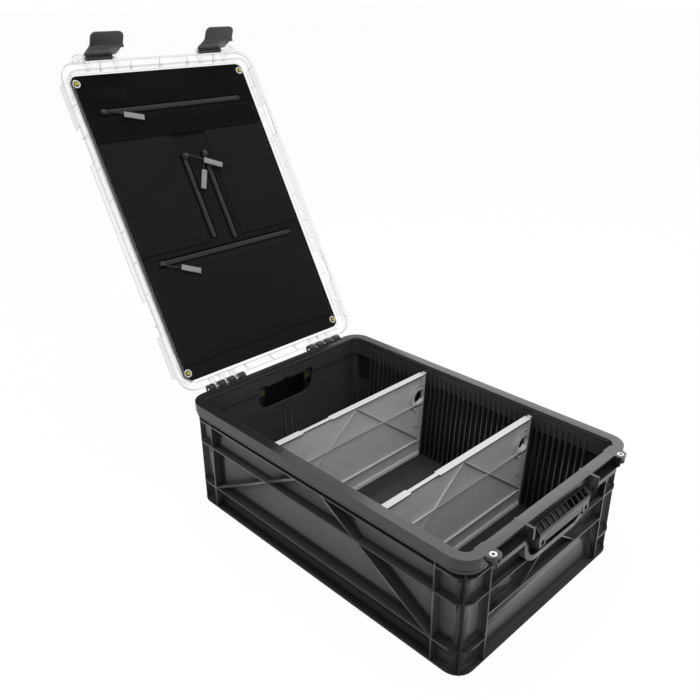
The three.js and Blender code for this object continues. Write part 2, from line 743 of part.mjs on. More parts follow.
// Padlock eyelets, set flush in the posts
const turned = (points, sides = smallSides) => new THREE.LatheGeometry(
  [...points, points[0]].map(([r, z]) => new THREE.Vector2(r, z)), sides).rotateX(Math.PI / 2);
for (const [side, place] of [[-1, 'left'], [1, 'right']]) {
  const eyelet = turned([
    [eyeletBore, -postPlateThickness - eyeletBossHeight], [eyeletBarrel, -postPlateThickness - eyeletBossHeight],
    [eyeletBarrel, -eyeletFlangeThickness], [eyeletFlange, -eyeletFlangeThickness], [eyeletFlange, 0],
    [eyeletBore, 0]]);
  addMesh(crate, `eyelet_${place}`, eyelet, steel())
    .position.set(side * eyeletFromCentre, -rimY - eyeletReach, crateHeight);
  addMesh(crate, `hinge_pin_${place}`, rodX(hingePinRadius, hingeY, hingeZ, ...pinEnds(side)), steel());
}

// Handles: a louvred grip with an open back, seated on the two lugs of the cup
const gripBack = -handleSeatReach + clearance;
const gripTop = crateHeight - handleStripHeight - clearance;
const outwards = (points) => polygon(points.map(([o, z]) => [-rimY - o, z]));
const gripOuter = [
  [gripBack, gripTop], [gripSlopeTop, gripTop], [gripReach, gripSlopeFoot],
  [gripReach + gripBead, (gripSlopeFoot + gripBeadFoot) / 2], [gripReach, gripBeadFoot]];
const gripLug = [
  [gripReach, gripLugTop], [gripLugNose, gripLugNoseHeight], [gripLugChin, gripLugChinHeight],
  [-gripLugHeel, gripLugHeelHeight], [gripBack, gripLugBackHeight]];
const skin = outwards([
  ...gripOuter, [gripReach, gripFoot], [gripReach - gripReturn, gripFoot],
  [gripReach - gripReturn, gripFoot + gripSkin], [gripReach - gripSkin, gripFoot + gripSkin],
  [gripReach - gripSkin, gripSlopeFoot - gripSkin / 2], [gripSlopeTop - gripSkin / 2, gripTop - gripSkin],
  [gripBack, gripTop - gripSkin]]);
const slopeRun = new THREE.Vector2(gripReach - gripSlopeTop, gripSlopeFoot - gripTop);
const slopeStep = slopeRun.clone().normalize();
const slotTurn = new THREE.Vector2(-slopeStep.y, slopeStep.x).multiplyScalar(gripSkin * 2);
const slotStart = slopeStep.clone().multiplyScalar(louvreMargin).add(new THREE.Vector2(gripSlopeTop, gripTop));
const slotEnd = slopeStep.clone().multiplyScalar(slopeRun.length() - louvreMargin)
  .add(new THREE.Vector2(gripSlopeTop, gripTop));
const slot = outwards([
  slotStart.clone().add(slotTurn), slotEnd.clone().add(slotTurn),
  slotEnd.clone().sub(slotTurn), slotStart.clone().sub(slotTurn)].map((p) => [p.x, p.y]));
const plateHalf = gripHalfWidth - handleLugWidth - clearance;
const plateTurn = cutoutCornerRadius;
const plateFoot = cupBottom + cupThickness + clearance;
const gripPlate = join([
  solid(alongY(uShape(gripPlateHalfWidth, plateFoot, handleLugFoot - clearance, plateTurn),
    -rimY + gripPlateSetback, -rimY + gripPlateSetback + gripPlateThickness)),
  solid(block(-plateHalf, plateHalf, -rimY + gripPlateSetback, -rimY + gripPlateSetback + gripPlateThickness,
    handleLugFoot - clearance - bite, gripTop)),
  solid(block(-plateHalf, plateHalf, -rimY - gripBack - bite, -rimY + gripPlateSetback + bite,
    gripTop - gripSkin, gripTop)),
]);
const gripBody = join([
  gripPlate,
  solid(alongX(skin, -gripHalfWidth, gripHalfWidth)),
  ...bothSides.flatMap((side) => [
    solid(alongX(outwards([...gripOuter, ...gripLug.slice(1)]),
      ...span(side * (gripHalfWidth - gripCheek), side * gripHalfWidth))),
    solid(alongX(outwards([[gripBack, gripLugTop], ...gripLug]),
      ...span(side * (gripHalfWidth - handleLugWidth), side * (gripHalfWidth - gripCheek / 2)))),
  ]),
]);
const gripCuts = [];
for (let i = 0; i < louvres; i += 1) {
  const x = (i - (louvres - 1) / 2) * louvrePitch;
  const half = (louvrePitch - louvreBar) / 2;
  gripCuts.push(solid(alongX(slot, x - half, x + half)));
}
const headBack = gripReach - screwSink - screwHeadHeight;
for (const side of bothSides) {
  const x = side * gripScrewFromCentre;
  gripCuts.push(solid(rodY(screwShankRadius + pinClearance, x, gripScrewHeight,
    -rimY - headBack - overrun, -rimY - gripBack + overrun)));
  gripCuts.push(solid(rodY(screwHeadRadius + clearance, x, gripScrewHeight,
    -rimY - gripLugNose - overrun, -rimY - headBack + clearance)));
}
const grip = gripBody.subtract(join(gripCuts));
const screw = join([
  solid(rodY(screwHeadRadius, 0, 0, -headBack - screwHeadHeight, -headBack)),
  solid(rodY(screwShankRadius, 0, 0, -headBack - bite, -headBack + screwLength)),
]);
const sleeve = solid(rodY(insertRadius, 0, 0, handleSeatReach + clearance, handleSeatReach + handleLugDepth))
  .subtract(solid(rodY(insertRadius - insertWall, 0, 0, 0, handleSeatReach + handleLugDepth + overrun)));
for (const [place, turn] of [['front', 0], ['rear', Math.PI]]) {
  const end = new THREE.Group();
  end.rotation.z = turn;
  crate.add(end);
  addMesh(end, `handle_${place}`, grip, crateBlack());
  for (const [side, hand] of [[-1, 'left'], [1, 'right']]) {
    addMesh(end, `handle_screw_${place}_${hand}`, screw, darkMetal())
      .position.set(side * gripScrewFromCentre, -rimY, gripScrewHeight);
    addMesh(end, `handle_insert_${place}_${hand}`, sleeve, brass())
      .position.set(side * gripScrewFromCentre, -rimY, gripScrewHeight);
  }
}

// Dividers: a thin web with a strip on top, truss ribs on both faces, finger eyes and tongues for the slots
const dividerFoot = floorTop + clearance;
const dividerTopHalf = bandXAt(dividerTop) - dividerGap;
const dividerFootHalf = innerXAt(dividerFoot) - dividerGap;
const halfAt = (z) => dividerFootHalf
  + (dividerTopHalf - dividerFootHalf) * (z - dividerFoot) / (dividerTop - dividerFoot);
const stripFoot = dividerTop - dividerStripThickness;
const stripHalf = dividerTopHalf - dividerStripInset;
const neckOuter = -dividerTopHalf + dividerNeckInset;
const neckInner = neckOuter + dividerNeckLength;
const dividerRibFrom = dividerTopHalf - dividerRibInset;
const dividerApexHeight = dividerTop - dividerApexDrop;
const dividerMidHeight = dividerTop - dividerMidDrop;
const eyeFromCentre = dividerTopHalf - eyeInset;
const eyeHeight = dividerTop - eyeDrop;
const tabInner = dividerRibFrom - tabWidth;
const tabTop = dividerTop - tabTopDrop;
const tabFoot = dividerTop - tabFootDrop;
const bar = (x0, z0, x1, z1, depth) => {
  const run = new THREE.Vector2(x1 - x0, z1 - z0);
  const off = new THREE.Vector2(-run.y, run.x).normalize().multiplyScalar(dividerRib / 2);
  return solid(alongY(polygon([
    [x0 + off.x, z0 + off.y], [x0 - off.x, z0 - off.y], [x1 - off.x, z1 - off.y], [x1 + off.x, z1 + off.y]]),
  -depth / 2, depth / 2));
};
const eyeSides = roundSides;
const web = solid(alongY(polygon([
  [-halfAt(dividerFoot), dividerFoot], [halfAt(dividerFoot), dividerFoot],
  [halfAt(dividerTop), dividerTop], [-halfAt(dividerTop), dividerTop]]), -dividerWeb / 2, dividerWeb / 2));
const stripRuns = [[-stripHalf, neckOuter, dividerStripWidth],
  [neckOuter - bite, neckInner + bite, dividerNeckWidth], [neckInner, stripHalf, dividerStripWidth]];
const strip = join(stripRuns.map(([x0, x1, width]) => solid(
  block(x0, x1, -width / 2, width / 2, stripFoot, dividerTop))));
const ribDepth = dividerStripWidth - dividerRib;
const dividerRibs = join([
  solid(block(-dividerRibFrom, dividerRibFrom, -ribDepth / 2, ribDepth / 2,
    dividerMidHeight - dividerRib / 2, dividerMidHeight + dividerRib / 2)),
  solid(block(-dividerRibFrom, dividerRibFrom, -ribDepth / 2, ribDepth / 2,
    dividerLowHeight - dividerRib / 2, dividerLowHeight + dividerRib / 2)),
  solid(block(-dividerRibFrom, dividerRibFrom, -ribDepth / 2, ribDepth / 2,
    dividerFoot, dividerFoot + dividerBaseHeight)),
  ...bothSides.flatMap((side) => [
    bar(0, dividerApexHeight, side * dividerRibFrom, dividerTrussFoot, ribDepth),
    solid(alongY(polygon([[side * tabInner, tabTop], [side * tabInner, tabFoot + dividerRib],
      [side * (tabInner + dividerRib), tabFoot], [side * (dividerRibFrom - dividerRib), tabFoot],
      [side * dividerRibFrom, tabFoot + dividerRib], [side * dividerRibFrom, tabTop]]), -tabDepth / 2, tabDepth / 2)),
    solid(rodY(eyeRingRadius, side * eyeFromCentre, eyeHeight, -eyeRingThickness / 2, eyeRingThickness / 2, eyeSides))
      .add(solid(rodY(eyeArcRadius, side * eyeFromCentre, eyeHeight, -tabDepth / 2, tabDepth / 2, eyeSides))
        .subtract(solid(rodY(eyeArcRadius - eyeArcWidth, side * eyeFromCentre, eyeHeight,
          -tabDepth, tabDepth, eyeSides))))
      .intersect(solid(block(eyeRingInset - dividerTopHalf, dividerTopHalf - eyeRingInset,
        -tabDepth, tabDepth, 0, stripFoot + bite))),
  ]),
]);
const tongues = join(bothSides.map((side) => solid(alongY(polygon([
  [side * (halfAt(dividerFoot) - tongueWidth), dividerFoot], [side * halfAt(dividerFoot), dividerFoot],
  [side * dividerTopHalf, dividerTop], [side * (dividerTopHalf - tongueWidth), dividerTop]]),
-tongueThickness / 2, tongueThickness / 2))));
const divider = join([web, strip, dividerRibs, tongues]).subtract(join(bothSides.map((side) => solid(
  rodY(eyeRadius, side * eyeFromCentre, eyeHeight, -dividerStripWidth, dividerStripWidth, eyeSides)))));
for (const [index, place] of ['rear', 'front'].entries()) {
  addMesh(crate, `divider_${place}`, divider, dividerGrey()).position.y = dividerSlots[index] * slotPitch + slotShift;
}

// The lid group turns about the hinge axis; inside it the lid is closed and reaches along -Y
const lid = new THREE.Group();
lid.position.set(0, hingeY, hingeZ);
lid.rotation.x = -lidOpenAngle;
part.add(lid);
const lidSeat = hingeDrop + clearance;
const lidCentre = -rimY - hingeReach;
const lidX = rimX - lidEdgeInset;
const lidY = rimY - lidEdgeInset;
const lidWallX = rimX - lidWallInset;
const lidWallY = rimY - lidWallInset;
const lidTop = lidSeat + lidWallHeight;
const lidRoof = lidTop - lidPlateThickness;
const flangeTop = lidSeat + flangeThickness;
const ridgeEnd = rimY - ridgeEndInset;
const lidSideRibPitch = (2 * (lidWallY - lidSideRibInset)) / (lidSideRibs - 1);
const lidEndRibPitch = (2 * (lidWallX - lidEndRibInset)) / (lidEndRibs - 1);
const boardHalfWidth = lidWallX - lidWallThickness - boardSideGap;
const boardHalfLength = lidWallY - lidWallThickness - boardEndGap;
const fixingFromCentre = boardHalfWidth - fixingSideInset;
const lidPrism = (inset, low, high, steps) => solid(alongZ(centredRect(rimX - inset, rimY - inset,
  Math.max(lidCornerRadius - inset + lidEdgeInset, bite)), low, high, steps).translate(0, lidCentre, 0));
const lidHollow = lidPrism(lidWallInset + lidWallThickness, lidSeat - overrun, lidRoof, bendSteps);
const lidAdds = [
  lidPrism(lidEdgeInset, lidSeat, flangeTop),
  lidPrism(lidWallInset, lidSeat, lidTop, bendSteps),
  lidPrism(lidEdgeInset, flangeTop - bite, flangeTop + flangeLipHeight)
    .subtract(lidPrism(lidEdgeInset + flangeLipThickness, lidSeat, lidTop)),
];
for (const side of bothSides) {
  const [r0, r1] = span(side * (lidX - ridgeInset), side * (lidX - ridgeInset - ridgeThickness));
  const ridgeRuns = [[-ridgeEnd, -ridgeHalfLength - ridgeGap], [-ridgeHalfLength, ridgeHalfLength],
    [ridgeHalfLength + ridgeGap, ridgeEnd]];
  for (const [from, to] of ridgeRuns) {
    lidAdds.push(solid(block(r0, r1, lidCentre + from, lidCentre + to, flangeTop - bite, lidSeat + ridgeHeight)));
  }
  const [b0, b1] = span(side * (lidWallX - bite), side * (lidX - ridgeInset - ridgeThickness / 2));
  for (let i = 0; i < lidSideRibs; i += 1) {
    const y = lidCentre + (i - (lidSideRibs - 1) / 2) * lidSideRibPitch;
    lidAdds.push(solid(block(b0, b1, y - lidRibThickness / 2, y + lidRibThickness / 2,
      flangeTop - bite, lidTop - lidRibDrop)));
  }
  const [f0, f1] = span(lidCentre + side * (lidWallY - bite), lidCentre + side * (lidY - flangeLipThickness / 2));
  for (let i = 0; i < lidEndRibs; i += 1) {
    const x = (i - (lidEndRibs - 1) / 2) * lidEndRibPitch;
    lidAdds.push(solid(alongX(polygon([
      [side < 0 ? f1 : f0, flangeTop - bite], [side < 0 ? f0 : f1, flangeTop - bite],
      [side < 0 ? f0 : f1, flangeTop + flangeLipHeight], [side < 0 ? f1 : f0, lidTop - lidRibDrop]]),
    x - lidRibThickness / 2, x + lidRibThickness / 2)));
  }
}

// Hinge fingers of the lid, between the crate's knuckles
const fingerFoot = Math.asin(lidSeat / knuckleRadius);
const fingerShape = new THREE.Shape();
const fingerRoot = -(rimY + hingeReach - lidWallY) - bite;
fingerShape.moveTo(fingerRoot, lidSeat);
fingerShape.lineTo(fingerRoot, lidSeat + armHeight);
fingerShape.lineTo(0, knuckleRadius);
fingerShape.absarc(0, 0, knuckleRadius, Math.PI / 2, -Math.PI - fingerFoot, true);
const lidCuts = [];
for (const side of bothSides) {
  for (let k = 0; k < knucklesEachSide; k += 1) {
    if (k + 1 < knucklesEachSide) {
      lidAdds.push(solid(alongX(fingerShape, ...fingerEnds(side, k), cornerSteps * 2)).subtract(
        solid(rodX(hingePinRadius + pinClearance, 0, 0, ...span(side * knuckleStart, side * crateWidth)))));
    }
    const [a, b] = knuckleEnds(side, k);
    lidCuts.push(solid(rodX(knuckleRadius + sweepClearance, 0, 0,
      a - fingerClearance, b + fingerClearance, roundSides)));
  }
}

// Lugs for the latches and tabs over the padlock posts
const pivotY = lidCentre - rimY - latchPivotReach;
const pivotZ = latchPivotHeight;
const lugShape = new THREE.Shape();
const lugRoot = lidCentre - lidWallY + bite;
lugShape.moveTo(lugRoot, lidSeat);
lugShape.lineTo(lugRoot, pivotZ + lugRadius);
lugShape.lineTo(pivotY, pivotZ + lugRadius);
lugShape.absarc(pivotY, pivotZ, lugRadius, Math.PI / 2, 1.5 * Math.PI);
lugShape.lineTo(lidCentre - lidY, lidSeat);
for (const side of bothSides) {
  for (const hand of bothSides) {
    const x = side * latchFromCentre + hand * (latchWidth / 2 + clearance);
    lidAdds.push(solid(alongX(lugShape, ...span(x, x + hand * lugThickness))));
    lidCuts.push(solid(rodX(latchPinRadius + pinClearance, pivotY, pivotZ,
      ...span(x - hand * overrun, x + hand * (lugThickness + overrun)))));
  }
  lidAdds.push(solid(alongZ(postPlate(side, -rimY + tabRoot), lidSeat, lidSeat + tabThickness)
    .translate(0, -hingeY, 0)));
  lidCuts.push(solid(rodZ(tabHoleRadius, side * eyeletFromCentre, -rimY - eyeletReach - hingeY,
    lidSeat - overrun, lidSeat + tabThickness + overrun)));
  for (const end of bothSides) {
    lidCuts.push(solid(rodZ(fixingShankRadius + pinClearance, side * fixingFromCentre,
      lidCentre + end * (boardHalfLength - fixingEndInset), lidRoof - overrun, lidRoof + blindHoleDepth)));
  }
}
addMesh(lid, 'lid_shell', join(lidAdds).subtract(lidHollow).subtract(join(lidCuts)), clearPlastic());

// Latches: barrel, face, hook under the keeper, and a finger tab that flares outwards
const keeperFoot = keeperTop - keeperHeight;
const hookTop = keeperFoot - clearance - (hingeZ + pivotZ);
const hookEdge = -rimY - keeperReach - latchHookClearance - (hingeY + pivotY);
const faceOut = -latchBarrelRadius;
const faceIn = faceOut + latchThickness;
const hookFoot = hookTop - latchHookThickness;
const latchTab = alongY(uShape(latchWidth / 2 + latchTabFlare, -latchTabLength, latchThickness / 2, latchTabCorner),
  -latchThickness / 2, latchThickness / 2);
latchTab.rotateX(-latchTabAngle);
latchTab.translate(0, faceOut + latchThickness / 2, hookFoot + latchThickness / 2);
const half = latchWidth / 2;
const latch = join([
  solid(rodX(latchBarrelRadius, 0, 0, -half, half)),
  solid(block(-half, half, faceOut, faceIn, hookFoot, 0)),
  solid(alongX(polygon([[faceOut + bite, hookFoot], [hookEdge - latchThickness / 2, hookFoot],
    [hookEdge, hookTop - bite], [hookEdge, hookTop], [faceOut + bite, hookTop]]), -half, half)),
  solid(latchTab),
]).subtract(solid(rodX(latchPinRadius + pinClearance, 0, 0, -half - overrun, half + overrun)));
const pinReach = half + clearance + lugThickness;
for (const [side, place] of [[-1, 'left'], [1, 'right']]) {
  const lever = new THREE.Group();
  lever.position.set(side * latchFromCentre, pivotY, pivotZ);
  lid.add(lever);
  addMesh(lever, `latch_${place}`, latch, leverBlack());
  addMesh(lever, `latch_pin_${place}`, rodX(latchPinRadius, 0, 0, -pinReach, pinReach), steel());
}

// The organiser group faces down in the closed lid: x across, y the reach from the hinge, z the height off the board
const organiser = new THREE.Group();
organiser.rotation.x = Math.PI;
organiser.position.z = lidRoof - clearance - boardThickness;
lid.add(organiser);
const boardNear = -lidCentre - boardHalfLength;
const boardFar = -lidCentre + boardHalfLength;
const fixings = bothSides.flatMap((side) => [
  [side * fixingFromCentre, boardNear + fixingEndInset], [side * fixingFromCentre, boardFar - fixingEndInset]]);
const board = solid(alongZ(roundedRect(-boardHalfWidth, boardHalfWidth, boardNear, boardFar, boardCornerRadius),
  -boardThickness, 0, bendSteps)).subtract(join(fixings.map(([x, y]) => solid(
  rodZ(fixingShankRadius + pinClearance, x, y, -boardThickness - overrun, overrun)))));
addMesh(organiser, 'organiser_board', board, boardCloth());

// Pockets: soft flat panels with eased edges, one below or beside each zip
const pocketX = boardHalfWidth - pocketEdgeInset;
const zipEdge = zipTapeWidth / 2 + clearance;
const topZipReach = boardFar - topZipInset;
const lowZipReach = boardNear + lowZipInset;
const topPocketFoot = topZipReach - zipEdge - topPocketDepth;
const middleZipTop = topPocketFoot - middleZipDrop;
const leftZipFoot = lowZipReach + leftZipLift;
const rightZipFoot = lowZipReach + rightZipLift;
const middlePocketFoot = lowZipReach + middlePocketLift;
const pockets = {
  top: [-pocketX, pocketX, topPocketFoot, topZipReach - zipEdge],
  left: [-pocketX, leftZipX - leftPocketGap, middlePocketFoot, topPocketFoot - clearance],
  right: [rightZipX + rightPocketGap, pocketX, middlePocketFoot, topPocketFoot - clearance],
  bottom: [-pocketX, pocketX, boardNear + bottomPocketInset, lowZipReach - zipEdge],
};
for (const [place, [left, right, low, high]] of Object.entries(pockets)) {
  const panel = new THREE.ExtrudeGeometry(roundedRect(left, right, low, high, pocketCornerRadius), {
    depth: pocketThickness - 2 * pocketCrown, curveSegments: 1, bevelEnabled: true, bevelSegments: 1,
    bevelThickness: pocketCrown, bevelSize: pocketCrown, bevelOffset: -pocketCrown,
  }).translate(0, 0, clearance + pocketCrown);
  addMesh(organiser, `pocket_${place}`, panel, pocketCloth());
}

// Zips: tape and teeth as one strip, each with a slider and a pull
const tapeTop = clearance + zipTapeThickness;
const teethTop = tapeTop + zipTeethHeight;
const zipSection = polygon([
  [-zipTapeWidth / 2, clearance], [zipTapeWidth / 2, clearance], [zipTapeWidth / 2, tapeTop],
  [zipTeethWidth / 2, tapeTop], [zipTeethWidth / 2, teethTop], [-zipTeethWidth / 2, teethTop],
  [-zipTeethWidth / 2, tapeTop], [-zipTapeWidth / 2, tapeTop]]);
const teethSide = zipTeethWidth / 2 + clearance;
const sliderTop = teethTop + clearance + sliderThickness;
const sliderSection = polygon([
  [-sliderWidth / 2, tapeTop + clearance], [-teethSide, tapeTop + clearance], [-teethSide, teethTop + clearance],
  [teethSide, teethTop + clearance], [teethSide, tapeTop + clearance], [sliderWidth / 2, tapeTop + clearance],
  [sliderWidth / 2, sliderTop], [-sliderWidth / 2, sliderTop]]);
const pull = join([
  solid(rodZ(pullEyeRadius, 0, 0, 0, pullThickness)),
  solid(block(pullEyeRadius - bite, pullCordLength + bite, -pullCordWidth / 2, pullCordWidth / 2, 0, pullThickness)),
  solid(alongZ(roundedRect(pullCordLength, pullCordLength + pullTabLength, -pullTabWidth / 2, pullTabWidth / 2,
    pullTabCorner), 0, pullTabThickness, 1)),
]).subtract(solid(rodZ(sliderPostRadius + pinClearance, 0, 0, -overrun, pullThickness + overrun)));
const endZipHalfLength = boardHalfWidth - endZipInset;
const endZipReach = endZipHalfLength - sliderLength / 2;
const zips = {
  top: { x: 0, y: topZipReach, length: 2 * endZipHalfLength, across: true, at: -endZipReach,
    angle: topPullAngle, lift: 0 },
  left: { x: leftZipX, y: (leftZipFoot + middleZipTop) / 2, length: middleZipTop - leftZipFoot, across: false,
    at: (middleZipTop - leftZipFoot - sliderLength) / 2, angle: leftPullAngle, lift: pullLift },
  right: { x: rightZipX, y: (rightZipFoot + middleZipTop) / 2, length: middleZipTop - rightZipFoot, across: false,
    at: (middleZipTop - rightZipFoot - sliderLength) / 2, angle: rightPullAngle, lift: 0 },
  bottom: { x: 0, y: lowZipReach, length: 2 * endZipHalfLength, across: true, at: -endZipReach,
    angle: lowPullAngle, lift: 0 },
};
for (const [place, zip] of Object.entries(zips)) {
  const run = new THREE.Group();
  run.position.set(zip.x, zip.y, 0);
  run.rotation.z = zip.across ? -Math.PI / 2 : 0;
  organiser.add(run);
  addMesh(run, `zip_${place}`, alongY(zipSection, -zip.length / 2, zip.length / 2), zipBlack());
  const pullFoot = sliderTop + clearance + zip.lift;
  const capFoot = pullFoot + pullThickness + clearance;
  const slider = join([
    solid(alongY(sliderSection, -sliderLength / 2, sliderLength / 2)),
    solid(rodZ(sliderPostRadius, 0, 0, sliderTop - bite, capFoot + sliderCapThickness)),
    solid(rodZ(sliderCapRadius, 0, 0, capFoot, capFoot + sliderCapThickness)),
  ]);
  addMesh(run, `zip_slider_${place}`, slider, darkMetal()).position.y = zip.at;
  const tab = addMesh(run, `zip_pull_${place}`, pull, pullGrey());
  tab.position.set(0, zip.at, pullFoot);
  tab.rotation.z = zip.angle - run.rotation.z;
}

// Corner fixings: a clear washer and a brass screw through the board into the lid
const washer = solid(rodZ(washerRadius, 0, 0, clearance, clearance + washerThickness, roundSides))
  .subtract(solid(rodZ(fixingShankRadius + pinClearance, 0, 0, -overrun, washerThickness + overrun)));
const headFoot = clearance + washerThickness + clearance;
const rivet = join([
  solid(rodZ(fixingHeadRadius, 0, 0, headFoot, headFoot + fixingHeadHeight)),
  solid(rodZ(fixingShankRadius, 0, 0, -boardThickness - blindHoleDepth, headFoot + bite)),
]);
for (const [index, place] of ['left_near', 'left_far', 'right_near', 'right_far'].entries()) {
  const [x, y] = fixings[index];
  addMesh(organiser, `fixing_washer_${place}`, washer, clearPlastic()).position.set(x, y, 0);
  addMesh(organiser, `fixing_screw_${place}`, rivet, brass()).position.set(x, y, 0);
}

export default part;
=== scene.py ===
# %% [markdown]
# # A storage crate with a clear lid
# The crate is a black moulding with fins outside and guide ribs inside. Its clear lid leans open on two hinges and
# carries a cloth organiser. The measured solids come in first as a fixed frame, and every finer piece made below
# goes exactly where that frame says, in metres, with Z up.

# %% Load the measured frame
import json
import math

import bmesh
import bpy
import numpy as np
from mathutils import Matrix, Vector


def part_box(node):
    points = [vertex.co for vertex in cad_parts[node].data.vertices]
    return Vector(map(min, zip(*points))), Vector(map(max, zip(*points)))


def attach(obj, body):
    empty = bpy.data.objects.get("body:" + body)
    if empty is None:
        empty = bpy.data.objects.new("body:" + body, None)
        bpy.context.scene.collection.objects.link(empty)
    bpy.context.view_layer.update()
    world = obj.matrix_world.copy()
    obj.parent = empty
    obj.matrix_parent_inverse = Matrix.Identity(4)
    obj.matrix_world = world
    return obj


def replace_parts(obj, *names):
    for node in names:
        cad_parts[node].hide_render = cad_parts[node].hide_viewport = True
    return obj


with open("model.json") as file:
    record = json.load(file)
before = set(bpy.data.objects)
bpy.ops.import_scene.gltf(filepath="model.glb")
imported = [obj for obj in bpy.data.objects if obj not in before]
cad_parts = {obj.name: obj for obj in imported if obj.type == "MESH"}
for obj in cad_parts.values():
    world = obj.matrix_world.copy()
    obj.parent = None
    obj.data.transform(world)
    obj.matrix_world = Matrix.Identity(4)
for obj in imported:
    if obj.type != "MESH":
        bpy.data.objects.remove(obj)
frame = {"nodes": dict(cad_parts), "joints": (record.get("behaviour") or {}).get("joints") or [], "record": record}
nodes = frame["nodes"]
bodies = {name: body for body, members in frame["record"]["behaviour"]["bodies"].items() for name in members}
slots = {part["node"]: part["material_slot"] for part in frame["record"]["subparts"]}
joints = {joint["name"]: joint for joint in frame["joints"]}
lid_lean = math.radians(abs(joints["lid_hinge"]["range_deg"][0]))
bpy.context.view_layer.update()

# %% [markdown]
# ## Camera
# The photograph was taken from the front left, a little above the lid's middle. The place, the direction and the
# lens were found from the crate's corners, so the render can be laid over the photograph. The three directions
# are written as a matrix: right, up and backwards are its columns.

# %% Camera
camera_place = Vector((-0.81549, -0.72227, 0.82707))
azimuth, pitch, roll = math.radians(44.4056), math.radians(24.9399), math.radians(0.2629)
lens_in_frames = 771.725 / 700

forward = Vector((math.sin(azimuth) * math.cos(pitch), math.cos(azimuth) * math.cos(pitch), -math.sin(pitch)))
level = Vector((math.cos(azimuth), -math.sin(azimuth), 0))
upward = level.cross(forward)
right = level * math.cos(roll) - upward * math.sin(roll)
above = level * math.sin(roll) + upward * math.cos(roll)
camera = bpy.data.objects.new("camera", bpy.data.cameras.new("camera"))
camera.data.sensor_width = 36
camera.data.lens = 36 * lens_in_frames
camera.data.clip_start = 0.05
camera.matrix_world = Matrix.Translation(camera_place) @ Matrix((right, above, -forward)).transposed().to_4x4()
bpy.context.scene.collection.objects.link(camera)
bpy.context.scene.camera = camera
print("lens", round(camera.data.lens, 2), "mm")

# %% [markdown]
# ## Materials as expressions
# A material in Blender is a graph of nodes. To keep the maths readable, a socket is wrapped in a small class
# whose operators add Math nodes, and any other node comes from one method, `Finish.add`.

# %% Shader maths
class Value:
    """A socket of a material. + - * and ** add Math nodes, also with a plain number on the left of the first three.
    also gives another output of the same node."""

    def __init__(self, finish, socket):
        self.finish, self.socket = finish, socket

    def math(self, operation, first, second=0.0, clamp=False):
        return self.finish.add("Math", {"operation": operation, "use_clamp": clamp}, {0: first, 1: second})

    def __add__(self, other): return self.math("ADD", self, other)
    def __radd__(self, other): return self.math("ADD", other, self)
    def __sub__(self, other): return self.math("SUBTRACT", self, other)
    def __rsub__(self, other): return self.math("SUBTRACT", other, self)
    def __mul__(self, other): return self.math("MULTIPLY", self, other)
    def __rmul__(self, other): return self.math("MULTIPLY", other, self)
    def __pow__(self, other): return self.math("POWER", self, other)
    def over(self, level): return self.math("GREATER_THAN", self, level)
    def limited(self): return self.math("ADD", self, 0.0, clamp=True)
    def size(self): return self.math("ABSOLUTE", self)
    def sine(self): return self.math("SINE", self)
    def also(self, output): return Value(self.finish, self.socket.node.outputs[output])


class Finish:
    """A material under construction, with one Principled surface."""

    def __init__(self, name):
        self.material = bpy.data.materials.new(name)
        self.material.use_nodes = True
        self.tree = self.material.node_tree
        self.surface = self.tree.nodes["Principled BSDF"]
        self.output = self.tree.nodes["Material Output"]

    def put(self, socket, value):
        """Links a Value to a socket, or writes a plain number or colour on it."""
        if isinstance(value, Value):
            self.tree.links.new(value.socket, socket)
        else:
            socket.default_value = value

    def add(self, kind, settings=None, sockets=None, take=0):
        """Adds a node, sets its settings first, then its sockets, and gives the output that is asked for."""
        node = self.tree.nodes.new("ShaderNode" + kind)
        for name, value in (settings or {}).items():
            setattr(node, name, value)
        for name, value in (sockets or {}).items():
            self.put(node.inputs[name], value)
        return Value(self, node.outputs[take])

    def set(self, **sockets):
        for name, value in sockets.items():
            self.put(self.surface.inputs[name.replace("_", " ").title().replace("Ior", "IOR")], value)

    def place(self):
        return self.add("TexCoord", take="Object")

    def noise(self, scale, detail=2.0, roughness=0.5, where=None, stretch=None):
        """Cloudy pattern between 0 and 1; scale counts its blobs in a metre."""
        where = where or self.place()
        if stretch:
            where = self.add("Mapping", sockets={"Vector": where, "Scale": stretch})
        return self.add("TexNoise", sockets={
            "Vector": where, "Scale": scale, "Detail": detail, "Roughness": roughness})

    def blend(self, share, first, second):
        """A colour between two colours."""
        return self.add("Mix", {"data_type": "RGBA"}, {0: share, 6: first, 7: second}, take=2)

    def bump(self, height, depth, strength=1.0, normal=None):
        """A bumped normal: height from 0 to 1 stands for a relief of depth metres."""
        sockets = {"Height": height, "Distance": depth, "Strength": strength}
        if normal:
            sockets["Normal"] = normal
        return self.add("Bump", sockets=sockets)

    def rounded(self, radius):
        """The normal with every edge eased over a small radius, as a moulding's edges are."""
        return self.add("Bevel", {"samples": 6}, {"Radius": radius})

    def dot(self, first, second):
        """The first vector's share along the second."""
        return self.add("VectorMath", {"operation": "DOT_PRODUCT"}, {0: first, 1: second}, take="Value")

    def edges(self, eased):
        """0 on a face and more at an edge: how far the eased normal is turned away from the flat one."""
        return 1 - self.dot(eased, self.add("NewGeometry", take="Normal"))

    def mix_in(self, share, shader):
        """Sends a mix of the Principled surface and another shader to the output."""
        mixed = self.add("MixShader", sockets={0: share, 1: Value(self, self.surface.outputs[0]), 2: shader})
        self.put(self.output.inputs["Surface"], mixed)


def grey(level, blue=0.0):
    return (level, level, level * (1 + blue), 1.0)

# %% [markdown]
# ## Surfaces from formulas
# Each new piece below is a skin over a grid of points. A row of the grid is one ring or one line across, and the
# rows follow each other along the piece. Working out whole arrays of points keeps every formula in one place,
# and a size can be changed without touching the mesh code.

# %% Mesh helpers
mm = 0.001


